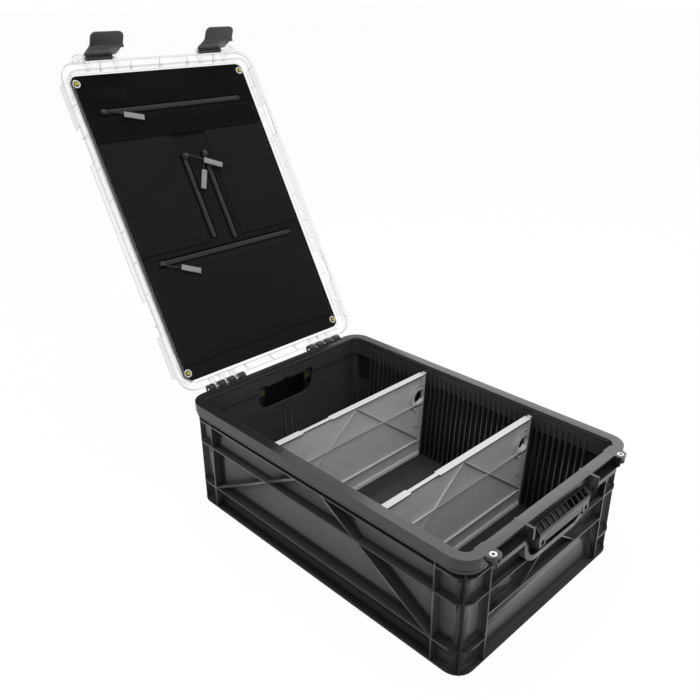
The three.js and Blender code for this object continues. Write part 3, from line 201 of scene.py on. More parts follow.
def skin(points, around=False, ends=False, looped=False):
    """Quads between neighbouring points of a grid. around joins the last point of a row to its first, looped
    joins the last row to the first, and ends closes the first and last rows with flat faces."""
    rows, columns = points.shape[:2]
    index = np.arange(rows * columns).reshape(rows, columns)
    near = index if looped else index[:-1]
    far = np.roll(index, -1, axis=0) if looped else index[1:]
    turn = lambda grid: np.roll(grid, -1, axis=1)
    quads = np.stack([near, turn(near), turn(far), far], axis=-1)
    quads = quads[:, :columns if around else columns - 1].reshape(-1, 4)
    faces = quads.tolist()
    if ends:
        faces += [index[0, ::-1].tolist(), index[-1].tolist()]
    return points.reshape(-1, 3), faces


def mesh_of(name, *skins, smooth=38):
    """One mesh from several skins. Bends gentler than smooth degrees are shaded as curves."""
    places, faces, start = [], [], 0
    for points, polygons in skins:
        places.append(points)
        faces += [[corner + start for corner in polygon] for polygon in polygons]
        start += len(points)
    mesh = bpy.data.meshes.new(name)
    mesh.from_pydata(np.concatenate(places).tolist(), [], faces)
    mesh.shade_smooth()
    mesh.set_sharp_from_angle(angle=math.radians(smooth))
    return mesh


def copies(shape, places):
    """The same skin moved to many places: places is an array of shifts, one row for each copy."""
    points, faces = shape
    count, size = len(places), len(points)
    moved = (points[None] + np.asarray(places)[:, None]).reshape(-1, 3)
    return moved, [[corner + size * i for corner in polygon] for i in range(count) for polygon in faces]


def rounded_outline(half_x, half_y, radius, steps=6):
    """Corner points of a rectangle with round corners: four quarter circles, each moved to its own corner."""
    quarter = np.linspace(0, math.pi / 2, steps + 1)
    angle = (quarter[None] + np.arange(4)[:, None] * math.pi / 2).ravel()
    sign_x = np.repeat([1, -1, -1, 1], steps + 1)
    sign_y = np.repeat([1, 1, -1, -1], steps + 1)
    return np.stack([sign_x * (half_x - radius) + radius * np.cos(angle),
                     sign_y * (half_y - radius) + radius * np.sin(angle)], axis=-1)


def slab(half_x, half_y, radius, low, high, ease, steps=6, bends=3):
    """A flat bar with round corners and eased edges: its outline shrinks by the ease along a quarter circle
    at the bottom and again at the top."""
    bend = np.linspace(0, math.pi / 2, bends + 1)
    inset = np.concatenate([ease * (1 - np.sin(bend)), ease * (1 - np.cos(bend))])
    level = np.concatenate([low + ease * (1 - np.cos(bend)), high - ease * (1 - np.sin(bend))])
    rings = [np.column_stack([rounded_outline(half_x - i, half_y - i, max(radius - i, 1e-5), steps),
                              np.full(4 * steps + 4, z)]) for i, z in zip(inset, level)]
    return skin(np.array(rings), around=True, ends=True)


def turned(profile, sides=28, hollow=False):
    """A turned part about the Z axis: each (radius, height) of the profile is a circle. A hollow part's profile
    is a closed line, so its last circle joins its first."""
    angle = np.linspace(0, 2 * math.pi, sides, endpoint=False)
    radius, height = np.array(profile, float).T
    rings = np.stack([radius[:, None] * np.cos(angle), radius[:, None] * np.sin(angle),
                      np.repeat(height[:, None], sides, axis=1)], axis=-1)
    return skin(rings, around=True, ends=not hollow, looped=hollow)


def tube(path, radius, sides=10):
    """A round cord along a path: at each point a circle stands square to the path, on a frame made from the
    path's direction and the Z axis."""
    path = np.asarray(path, float)
    along = np.gradient(path, axis=0)
    along /= np.linalg.norm(along, axis=1, keepdims=True)
    side = np.cross([0, 0, 1], along)
    side /= np.linalg.norm(side, axis=1, keepdims=True)
    over = np.cross(along, side)
    angle = np.linspace(0, 2 * math.pi, sides, endpoint=False)
    rings = (path[:, None] + radius * (np.cos(angle)[None, :, None] * side[:, None]
                                       + np.sin(angle)[None, :, None] * over[:, None]))
    return skin(rings, around=True, ends=True)


def smooth_step(value):
    """0 below 0, 1 above 1 and an even S between."""
    value = np.clip(value, 0, 1)
    return value * value * (3 - 2 * value)

# %% [markdown]
# ## Places on the lid
# The lid leans back, so its pieces are drawn flat and then carried into place. On the organiser's board, x runs
# across, reach runs away from the hinge and height stands off the board towards whoever looks at it.

# %% Places on the lid
hinge_place = np.array(joints["lid_hinge"]["pos_m"])
away = np.array([0, -math.cos(lid_lean), math.sin(lid_lean)])
outwards = np.array([0, -math.sin(lid_lean), -math.cos(lid_lean)])
board_height = 17.1 * mm


def on_board(shape):
    """Carries a flat skin, in x, reach and height, onto the leaning board."""
    points, faces = shape
    flat = points[:, 0:1] * [1, 0, 0] + points[:, 1:2] * away + (points[:, 2:3] - board_height) * outwards
    return hinge_place + flat, faces


def turned_to(shape, angle, place):
    """Turns a flat skin about its own Z axis and moves it to a place."""
    points, faces = shape
    c, s = math.cos(angle), math.sin(angle)
    return points @ np.array([[c, s, 0], [-s, c, 0], [0, 0, 1]]) + np.array(place), faces


print("board leans", round(math.degrees(lid_lean) - 90, 1), "degrees past upright")

# %% [markdown]
# ## Black moulded plastic
# The tub, the grips and the latches are injection mouldings. Their skin is glossy with a faint grain, the gloss
# drifts a little over a long wall, and each edge has a small radius that catches a line of light. A Bevel node
# gives that radius to the shading. Where it turns the normal, the surface is an edge, and the plastic there is
# painted a touch paler, partly as handling wears it and partly as a painted highlight along the edge. In hollows
# and corners, which see little open air, a second, matt shader takes over, because nothing bright is left there
# to mirror; its colour is painted darker there, a painted shade.

# %% Moulded plastics
base_skin = 0.012  # height up to which the crate's floor and its grid reach
hollow_reach = 0.05  # how far a point looks round for open air


def moulded(name, colour, gloss, radius=0.0009, grain=0.00003, edge=1.6, drift=0.06, specular=0.5, tint=0.0,
            pale_above=None, shade=None, inside=None):
    """A moulding. pale_above gives a height and one flat grey for all above it, painted for how the overhead lamp
    lights a top. inside gives half a width, half a length, a height and a grey for a room in the middle, which
    stands in for how lit the room looks: painted light in the tub, painted shade in a grip's hollow. Then come the
    half width and half length at which its walls stand: the ribs that reach in from them, and the floor's grid
    below base_skin, are painted half as bright, a painted shade. shade gives the share of open air at which corners
    and hollows start to turn matt and take a painted darker colour, and how fast that grows."""
    finish = Finish(name)
    eased = finish.rounded(radius)
    # Painted highlight and wear: the plastic is painted paler wherever the eased normal turns, at every edge.
    edge_wear_and_glint = (finish.edges(eased) * 5).limited() * (0.5 + 0.5 * finish.noise(40, 3))
    fine = finish.noise(1400, 3, 0.6)
    cloud = finish.noise(6, 3, 0.55)
    tone = (0.35 * cloud + 0.3 * finish.noise(90, 4) + 0.65 * edge_wear_and_glint).limited()
    skin_colour = finish.blend(tone, grey(colour * 0.85, tint), grey(colour * edge, tint))
    place_x = finish.add("SeparateXYZ", sockets={"Vector": finish.place()}, take="X")
    height = place_x.also("Z")
    if pale_above:
        # Painted light: everything above the height takes one flat grey, set for how the overhead lamp lights a
        # top.
        skin_colour = finish.blend(height.over(pale_above[0]), skin_colour, grey(pale_above[1], tint))
    if inside:
        # Painted light and shade: the middle room takes a grey of its own, and the ribs before its walls and the
        # floor's grid are painted half as bright.
        half_x, half_y, top, room_grey, wall_x, wall_y = inside
        across, along = place_x.size(), place_x.also("Y").size()
        outside = (across.over(half_x) + along.over(half_y) + height.over(top)).limited()
        wall = (across.over(wall_x) + along.over(wall_y) + (1 - height.over(base_skin))).limited()
        room = finish.blend(tone, grey(room_grey * 0.9, tint), grey(room_grey * 1.2, tint))
        room = finish.blend(wall, finish.blend(0.5, room, grey(0.0)), room)
        skin_colour = finish.blend(outside, room, skin_colour)
    normal = finish.bump(fine, grain, 0.5, eased)
    rough = (gloss - drift / 2) + drift * cloud + 0.03 * fine
    finish.set(base_color=skin_colour, roughness=rough, normal=normal, specular_ior_level=specular)
    if shade:
        start, growth = shade
        air = finish.add("AmbientOcclusion", {"samples": 4}, {"Distance": hollow_reach}, take="AO")
        # Painted shade: the matt shader's colour is the skin's, 40 per cent darker, and it takes over where little
        # open air is seen.
        matt = finish.add("BsdfPrincipled", sockets={
            "Base Color": finish.blend(0.4, skin_colour, grey(0.0)), "Roughness": 0.55 + 0.1 * cloud,
            "Normal": normal, "Specular IOR Level": 0.15})
        finish.mix_in(((start - air) * growth).limited(), matt)
    return finish.material


# The tub's inside is painted lighter than its outside, a painted light, and its ribs and floor grid darker, a
# painted shade.
crate_black = moulded("crate_black", 0.014, 0.12, grain=0.00001, drift=0.05, tint=0.03, shade=(0.9, 4.5),
                      inside=(0.1845, 0.2872, 0.19, 0.042, 0.1795, 0.279))
# A grip's hollow behind its slots is painted near black: painted shade.
grip_black = moulded("grip_black", 0.014, 0.18, radius=0.0005, grain=0.00001, drift=0.05, tint=0.03,
                     shade=(0.95, 6.0), inside=(0.05, 0.2975, 0.1845, 0.001, 0.0, 0.0))
lever_black = moulded("lever_black", 0.03, 0.36, radius=0.0012, tint=0.02)
# The dividers' top strip has a grey painted for the overhead light on it, and their corners are painted shade.
divider_grey = moulded("divider_grey", 0.52, 0.42, radius=0.0008, edge=1.35, pale_above=(0.18385, 0.5),
                       shade=(0.75, 1.0))
print("plastics", [finish.name for finish in (crate_black, grip_black, lever_black, divider_grey)])

# %% [markdown]
# ## Clear plastic
# The lid and the washers are thin polished clear plastic. A sheet with level faces shifts what lies behind it by
# less than its own thickness, so the body is given an index near 1 and the gloss comes from a coat with the
# plastic's real index. Light that runs along a sheet is caught in it, which is why ribs and edges look grey; that
# grey is painted shade in the base colour, and it deepens with the angle of view and at every edge. Shadow rays
# pass through a tinted transparent surface, because most light goes through.

# %% Clear plastic
def clear(name, face, edge_shade_grey, radius=0.0015, coat_rough=0.03, at_edges=0.9, at_grazing=0.55):
    """Clear plastic between a face colour and an edge grey, which is painted shade. at_edges and at_grazing say how
    far the grey shows where the normal turns and where the sheet is seen from its side."""
    finish = Finish(name)
    eased = finish.rounded(radius)
    turn = (finish.edges(eased) * 20).limited()
    grazing = finish.add("LayerWeight", sockets={"Blend": 0.5}, take="Facing") ** 4
    # Painted shade: the grey of edges, ribs and grazing views is painted into the base colour.
    depth = (turn * at_edges + grazing * at_grazing + 0.02 * finish.noise(9, 3)).limited()
    finish.set(base_color=finish.blend(depth, face, edge_shade_grey), transmission_weight=1.0, ior=1.01, roughness=0.0,
               coat_weight=0.4, coat_ior=1.5, coat_roughness=coat_rough, normal=eased)
    through = finish.add("BsdfTransparent", sockets={"Color": (0.95, 0.955, 0.955, 1)})
    finish.mix_in(finish.add("LightPath", take="Is Shadow Ray"), through)
    return finish.material


clear_plastic = clear("clear_plastic", (0.99, 0.995, 0.995, 1), (0.16, 0.165, 0.17, 1))
milky = moulded("milky", 0.75, 0.25, radius=0.0004, grain=0.00001, edge=1.2)
print("clear plastic of", len(clear_plastic.node_tree.nodes), "nodes")

# %% [markdown]
# ## Cloth, tape and rubber
# The organiser is woven nylon. A weave is two sets of parallel threads, so its relief is the product of two
# waves, at right angles, in the plane of the lid. The lid leans, so the pattern's coordinates are first turned
# by the lid's angle with a Mapping node.

# %% Cloth
def woven(name, colour, pitch, depth, sheen=0.15, fuzz=0.3, shine=0.04, beyond=None):
    """Woven cloth in the plane of the lid. beyond gives a reach from the hinge and the grey past it."""
    finish = Finish(name)
    flat = finish.add("Mapping", {"vector_type": "TEXTURE"}, {
        "Vector": finish.place(), "Rotation": (-lid_lean, 0, 0)})
    across = finish.add("SeparateXYZ", sockets={"Vector": flat}, take="X")
    turns = 2 * math.pi / pitch
    warp, weft = (across * turns).sine(), (across.also("Y") * turns).sine()
    weave = 0.5 + 0.25 * warp * weft + 0.25 * weft
    lint = finish.noise(900, 4, 0.7, flat)
    patch = finish.noise(11, 4, 0.6, flat)
    tone = (0.45 * patch + 0.55 * lint).limited()
    cloth_colour = finish.blend(tone, grey(colour * 0.7), grey(colour * 1.35, 0.02))
    if beyond:
        start, far_grey = beyond
        reach = finish.dot(finish.place(), tuple(away))
        darker = finish.blend(tone, grey(far_grey * 0.7), grey(far_grey * 1.35, 0.02))
        cloth_colour = finish.blend(reach.over(start + float(hinge_place @ away)), cloth_colour, darker)
    finish.set(
        base_color=cloth_colour,
        roughness=0.86 + 0.1 * lint,
        normal=finish.bump(weave + fuzz * lint, depth, 0.6),
        sheen_weight=sheen, sheen_roughness=0.5, specular_ior_level=shine,
    )
    return finish.material


board_cloth = woven("board_cloth", 0.0095, 0.0012, 0.0001, sheen=0.01, beyond=(0.455, 0.0045))
pocket_cloth = woven("pocket_cloth", 0.0095, 0.0011, 0.0001, sheen=0.02)
zip_tape = woven("zip_tape", 0.0025, 0.0008, 0.0001, sheen=0.0)
zip_teeth = moulded("zip_teeth", 0.01, 0.3, radius=0.0003, grain=0.00001, specular=0.3)
cord_black = moulded("cord_black", 0.004, 0.5, radius=0.0002, grain=0.00004)
thread_black = moulded("thread_black", 0.008, 0.6, radius=0.0001, grain=0.00002)
patch_black = moulded("patch_black", 0.003, 0.7, radius=0.0004, edge=2.5, specular=0.05)
pull_rubber = moulded("pull_rubber", 0.2, 0.5, radius=0.0005, edge=1.15)
print("cloth of", len(pocket_cloth.node_tree.nodes), "nodes")

# %% [markdown]
# ## Metals
# The eyelets and pins are bright steel, the threaded inserts and the corner screws brass, the sliders and grip
# screws blackened. Turned parts carry fine rings from the cutting tool, here a stretched noise in the roughness.

# %% Metals
def turned_metal(name, colour, rough, dull=0.1):
    finish = Finish(name)
    rings = finish.noise(900, 2, 0.5, stretch=(1, 1, 8))
    tarnish = finish.noise(160, 3)
    darker = tuple(0.7 * c for c in colour[:3]) + (1.0,)
    finish.set(
        base_color=finish.blend(tarnish, darker, colour), metallic=1.0,
        roughness=rough + dull * tarnish + 0.05 * rings,
        normal=finish.bump(rings, 0.00001, 0.4, finish.rounded(0.0002)),
    )
    return finish.material


steel = turned_metal("steel", (0.75, 0.76, 0.77, 1), 0.2)
brass = turned_metal("brass", (0.62, 0.52, 0.08, 1), 0.3)
dark_steel = turned_metal("dark_steel", (0.06, 0.06, 0.065, 1), 0.35)
ring_metal = turned_metal("ring_metal", (0.22, 0.22, 0.22, 1), 0.25)
finishes = {
    "crate_black": crate_black, "lever_black": lever_black, "divider_grey": divider_grey,
    "clear_plastic": clear_plastic, "board": board_cloth, "cloth": pocket_cloth, "zip_tape": zip_tape,
    "pull_rubber": pull_rubber, "steel": steel, "brass": brass, "dark_steel": dark_steel,
}
print(len(finishes), "slots have a finish")

# %% [markdown]
# ## Dressing the measured solids
# A measured solid arrives as loose triangles. A copy is merged into one skin, its gentle bends are shaded smooth
# and its real edges kept sharp, and the copy stands in for the solid. Its normals are weighted by the area of the
# faces, so a long flat wall stays flat in the shading and only the narrow strips of a bend look round.

# %% Dress the solids
def piece_of(name, mesh, node, finish=None):
    """Puts a mesh into the scene as a piece that rides with the node's body and takes its slot."""
    piece = bpy.data.objects.new(name, mesh)
    bpy.context.scene.collection.objects.link(piece)
    mesh.materials.clear()
    mesh.materials.append(finish or finishes[slots[node]])
    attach(piece, bodies[node])
    return piece


def dressed(node, bend=47, finish=None):
    """A merged copy of a solid, in whose place it stands. Edges that bend by more than bend degrees stay sharp."""
    mesh = nodes[node].data.copy()
    shape = bmesh.new()
    shape.from_mesh(mesh)
    bmesh.ops.remove_doubles(shape, verts=shape.verts, dist=1e-6)
    bmesh.ops.dissolve_limit(shape, angle_limit=math.radians(0.5), verts=shape.verts, edges=shape.edges)
    shape.to_mesh(mesh)
    shape.free()
    mesh.shade_smooth()
    mesh.set_sharp_from_angle(angle=math.radians(bend))
    piece = piece_of(node + "_skin", mesh, node, finish)
    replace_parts(piece, node)
    weighted = piece.modifiers.new("flat walls", "WEIGHTED_NORMAL")
    weighted.keep_sharp = True


drawn_finer = ("pocket_", "zip_", "eyelet_", "fixing_", "handle_screw_", "handle_insert_", "hinge_pin_",
               "latch_")
dress_list = [name for name in nodes if not name.startswith(drawn_finer)]
for name in dress_list:
    dressed(name, finish=grip_black if name.startswith("handle_") else None)
print(len(dress_list), "solids dressed")

# %% [markdown]
# ## Latches
# A latch is a wide moulded lever. Its barrel turns between two lugs of the lid, its face widens past them and runs
# down to a hook, and its finger tab flares outwards from the fold. Each part is a plate or a bar with eased edges,
# drawn flat in across, along and depth, and then stood up about the latch's pin.

# %% Latches
pin_reach, pin_height = 612.4 * mm, 6.1 * mm
face_half, barrel_half, hook_half = 31 * mm, 25 * mm, 32 * mm
face_foot, hook_top, face_top, neck = -40.3 * mm, -37.3 * mm, -9 * mm, -6.8 * mm
tab_length, tab_flare = 24.5 * mm, math.radians(38)
latch_places = {"left": -117 * mm, "right": 117 * mm}


def plate(outline, low, high, ease):
    """A flat plate with eased edges: the outline, run anticlockwise, is drawn in along its own normals at both
    faces."""
    outline = np.asarray(outline, float)
    ahead, behind = np.roll(outline, -1, axis=0) - outline, outline - np.roll(outline, 1, axis=0)
    normal = sum(np.column_stack([step[:, 1], -step[:, 0]]) / np.linalg.norm(step, axis=1, keepdims=True)
                 for step in (ahead, behind))
    normal /= (normal ** 2).sum(axis=1, keepdims=True) / 2
    bend = np.linspace(0, math.pi / 2, 4)
    inset = np.concatenate([ease * (1 - np.sin(bend)), ease * (1 - np.cos(bend))])
    level = np.concatenate([low + ease * (1 - np.cos(bend)), high - ease * (1 - np.sin(bend))])
    rings = [np.column_stack([outline - i * normal, np.full(len(outline), z)]) for i, z in zip(inset, level)]
    return skin(np.array(rings), around=True, ends=True)


def tilted(shape, angle, along, depth):
    """Tilts a flat part about the across axis, so that what lay at negative along stands out, and shifts it."""
    points, faces = shape
    c, s = math.cos(angle), math.sin(angle)
    turn = np.array([[1, 0, 0], [0, c, -s], [0, s, c]])
    return points @ turn + np.array([0, along, depth]), faces


def on_latch(shape, middle_x):
    """Stands a part up about the pin: along becomes height over the pin, and depth stands away from the lid."""
    points, faces = shape
    flat = np.column_stack([points[:, 0] + middle_x, pin_reach + points[:, 2], pin_height - points[:, 1]])
    return on_board((flat, faces))


face = plate([(-face_half, face_foot), (face_half, face_foot), (face_half, face_top),
              (face_half - 1.5 * mm, -7 * mm), (barrel_half, neck), (barrel_half, 0), (-barrel_half, 0),
              (-barrel_half, neck), (-face_half + 1.5 * mm, -7 * mm), (-face_half, face_top)],
             1.5 * mm, 4.5 * mm, 0.5 * mm)
hook = plate([(-hook_half, face_foot), (hook_half, face_foot), (hook_half, hook_top), (-hook_half, hook_top)],
             -1.2 * mm, 4.4 * mm, 0.6 * mm)
corner = np.linspace(0, math.pi / 2, 8)
turn_radius = 9.5 * mm
rising, falling = turn_radius * (1 - np.cos(corner)), turn_radius * (1 - np.sin(corner))
tab_end = np.concatenate([
    np.column_stack([-face_half + rising, -tab_length + falling]),
    np.column_stack([face_half - falling, -tab_length + rising]),
    [[face_half, 1.2 * mm], [-face_half, 1.2 * mm]]])
tab = tilted(plate(tab_end, -1.5 * mm, 1.5 * mm, 0.7 * mm), tab_flare, face_foot + 1.5 * mm, 3.0 * mm)
barrel_points, barrel_faces = turned([(4.1 * mm, -barrel_half), (4.5 * mm, -barrel_half + 0.5 * mm),
                                      (4.5 * mm, barrel_half - 0.5 * mm), (4.1 * mm, barrel_half)], 28)
barrel = barrel_points[:, [2, 0, 1]], barrel_faces
for side, middle_x in latch_places.items():
    name = f"latch_{side}"
    lever = mesh_of(name + "_lever", *(on_latch(part, middle_x) for part in (face, hook, tab, barrel)))
    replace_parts(piece_of(name + "_lever", lever, name), name)

# %% [markdown]
# ## Fabric pockets
# Each pocket is a flat panel of nylon, sewn to the board on every side but its zip. Sewing pulls the edge down
# and gathers small puckers beside the seam, and the panel's middle stands a little proud. A simulation would
# hardly move cloth that is held all round, so the relief is one formula over the panel: a soft rise from the
# seam, a shallow crown, puckers that fade away from each edge, a folded hem, and a groove where the thread pulls.

# %% Pockets
pocket_edges = {  # left, right, near and far edge on the board, and how many puckers stand in a metre of seam
    "top": (-0.178, 0.178, 0.461, 0.5097, 38), "left": (-0.178, -0.033, 0.253, 0.4607, 52),
    "right": (0.040, 0.178, 0.253, 0.4607, 47), "bottom": (-0.178, 0.178, 0.052, 0.2282, 42)}
seam_inset, hem_width, cloth_thickness = 6 * mm, 9 * mm, 0.7 * mm


def waves(across, along, seed, count=7, longest=0.16, shortest=0.05):
    """Soft unevenness between about -1 and 1: a sum of a few long sine waves in seeded directions."""
    dice = np.random.default_rng(seed)
    total = 0
    for length, turn, phase in zip(np.linspace(longest, shortest, count), dice.uniform(0, math.pi, count),
                                   dice.uniform(0, 2 * math.pi, count)):
        total = total + np.sin(2 * math.pi / length * (across * math.cos(turn) + along * math.sin(turn)) + phase)
    return total / count ** 0.5 / 1.5


def pocket_relief(place, across, along):
    """Height of a pocket over the board. distance is how far a point lies from the nearest edge, and each term is
    a rise, crown, hem, pucker or groove written in it."""
    left, right, near, far, puckers = pocket_edges[place]
    seed = list(pocket_edges).index(place)
    sides = np.stack([across - left, right - across, along - near, far - along])
    distance = sides.min(axis=0)
    width, length = right - left, far - near
    u, v = (across - left) / width, (along - near) / length
    crown = 0.9 * mm * np.clip(np.sin(math.pi * u) * np.sin(math.pi * v), 0, 1) ** 0.6
    hem = 0.2 * mm * smooth_step((hem_width - distance) / (1.2 * mm))
    groove = 0.3 * mm * np.exp(-((distance - seam_inset) / (0.7 * mm)) ** 2)
    pucker = 0
    for near_edge, run in ((sides[0], along), (sides[1], along), (sides[2], across), (sides[3], across)):
        beat = np.sin(2 * math.pi * puckers * (run + 0.006 * waves(run, 0 * run, seed + 11)))
        pucker = pucker + 0.28 * mm * beat * np.exp(-((near_edge - 14 * mm) / (11 * mm)) ** 2)
    rise = 0.9 * mm * smooth_step(distance / (13 * mm))
    rest = smooth_step((distance - hem_width) / (20 * mm))
    return 1.25 * mm + rise + crown + hem - groove + pucker + 0.3 * mm * rest * waves(across, along, seed + 3)


def edge_samples(low, high, fine=0.6 * mm, coarse=3 * mm):
    """Sample places that stand close together beside both ends, where the hem and the thread are."""
    border = 11 * mm
    steps = int((high - low - 2 * border) / coarse)
    return np.concatenate([np.arange(low, low + border, fine), np.linspace(low + border, high - border, steps),
                           np.arange(high, high - border, -fine)[::-1]])


def stitch_places(place, pitch=3.4 * mm):
    """Middles of the stitches along the seam of a pocket, split by direction: across the board, and along it."""
    left, right, near, far, _ = pocket_edges[place]
    across = np.arange(left + seam_inset + pitch, right - seam_inset - pitch / 2, pitch)
    along = np.arange(near + seam_inset + pitch, far - seam_inset - pitch / 2, pitch)
    rows = np.concatenate([np.column_stack([across, np.full_like(across, edge)])
                           for edge in (near + seam_inset, far - seam_inset)])
    columns = np.concatenate([np.column_stack([np.full_like(along, edge), along])
                              for edge in (left + seam_inset, right - seam_inset)])
    return rows, columns


bend = np.linspace(0, math.pi, 5)
stitch = tube(np.column_stack([-1.05 * mm * np.cos(bend), 0 * bend, 0.22 * mm * np.sin(bend) ** 0.5]), 0.22 * mm, 5)
for place, (left, right, near, far, _) in pocket_edges.items():
    across, along = np.meshgrid(edge_samples(left, right), edge_samples(near, far))
    sheet = on_board(skin(np.stack([across, along, pocket_relief(place, across, along)], axis=-1)))
    node = f"pocket_{place}"
    panel = piece_of(f"pocket_cloth_{place}", mesh_of(f"pocket_cloth_{place}", sheet, smooth=60), node,
                     board_cloth if place == "top" else pocket_cloth)
    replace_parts(panel, node)
    thick = panel.modifiers.new("thickness", "SOLIDIFY")
    thick.thickness, thick.offset = cloth_thickness, -1
    rows, columns = stitch_places(place)
    thread = []
    for places, angle in ((rows, 0), (columns, math.pi / 2)):
        spots = np.column_stack([places, pocket_relief(place, places[:, 0], places[:, 1])])
        thread.append(on_board(copies(turned_to(stitch, angle, (0, 0, 0)), spots)))
    seam = piece_of(f"pocket_thread_{place}", mesh_of(f"pocket_thread_{place}", *thread), node, thread_black)
    right - left
print(len(pocket_edges), "pockets sewn, the last with", len(seam.data.polygons), "faces of thread")

# %% [markdown]
# ## Zips
# A zip is a tape with a raised chain along its middle. The chain of a coil zip is a fine spring on each side, and
# the two hook into each other, so from a step away it is a band with a round ridge and slanted notches. The ridge's
# section is a bell curve, and its height dips in a wave that runs slantwise across it.

# %% Zip chains and tapes
zip_runs = {  # middle of the run in x and reach, length, angle, and the slider's place on the run
    "top": (0.0, 0.5165, 0.300, 0.0, -0.1455),
    "bottom": (0.0, 0.235, 0.300, 0.0, -0.1455),
    "left": (-0.021, 0.33975, 0.1635, math.pi / 2, 0.07725),
    "right": (0.023, 0.33475, 0.1735, math.pi / 2, 0.08225)}


def chain(length, pitch=1.7 * mm, width=8.4 * mm, foot=1.3 * mm, height=1.5 * mm):
    """The bead over a tape, with four samples to a coil: a low band, a bell-shaped ridge on it and slanted
    notches, which are a wave over the length that lags towards the sides."""
    along = np.arange(-length / 2, length / 2, pitch / 4)
    angle = np.linspace(0, math.pi, 11)
    across = 0.5 * width * np.cos(angle)
    rise = 0.4 * np.sin(angle) ** 0.5 + 0.6 * np.exp(-(across / (1.5 * mm)) ** 2)
    wave = np.cos(2 * math.pi * (along[:, None] / pitch + 1.1 * np.abs(across[None]) / width))
    top = foot + height * rise[None] * (0.93 + 0.07 * wave)
    points = np.stack([np.repeat(along[:, None], len(across), axis=1),
                       np.repeat(-across[None], len(along), axis=0), top], axis=-1)
    return skin(points[:, ::-1], around=True, ends=True)


def tape(length, width=15 * mm, low=0.35 * mm, high=1.45 * mm):
    """The woven band: a slim section with a shallow hollow on each side of the chain."""
    across = np.linspace(-width / 2, width / 2, 25)
    level = high - 0.35 * mm * np.sin(math.pi * np.abs(across) / (width / 2)) ** 2
    ring = np.concatenate([np.column_stack([across, level]), [[width / 2, low], [-width / 2, low]]])
    ends = np.array([-length / 2, length / 2])
    points = np.stack([np.repeat(ends[:, None], len(ring), axis=1), np.repeat(ring[None, :, 0], 2, axis=0),
                       np.repeat(ring[None, :, 1], 2, axis=0)], axis=-1)
    return skin(points[:, ::-1], around=True, ends=True)


stop_half = 2.2 * mm
for place, (x, reach, length, angle, _) in zip_runs.items():
    stop = slab(stop_half, 3 * mm, 0.8 * mm, 1.4 * mm, 3.2 * mm, 0.5 * mm, 3)
    stop = turned_to(stop, 0, ((length / 2 - stop_half) * (1 if angle == 0 else -1), 0, 0))
    band = on_board(turned_to(tape(length), angle, (x, reach, 0)))
    bead = on_board(turned_to(chain(length - 4 * mm), angle, (x, reach, 0)))
    end_stop = on_board(turned_to(stop, angle, (x, reach, 0)))
    node = f"zip_{place}"
    woven_band = piece_of(f"zip_tape_{place}", mesh_of(f"zip_tape_{place}", band), node)
    piece_of(f"zip_chain_{place}", mesh_of(f"zip_chain_{place}", bead, end_stop, smooth=50), node, zip_teeth)
    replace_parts(woven_band, node)

# %% [markdown]
# ## Sliders and pulls
# The slider is a cast body that straddles the chain, with a bright ring that holds the pull. The pull is a loop of
# thin cord that ends in a flat rubber tab. Both are small, so their edges are eased in the mesh, where the light
# shows it.

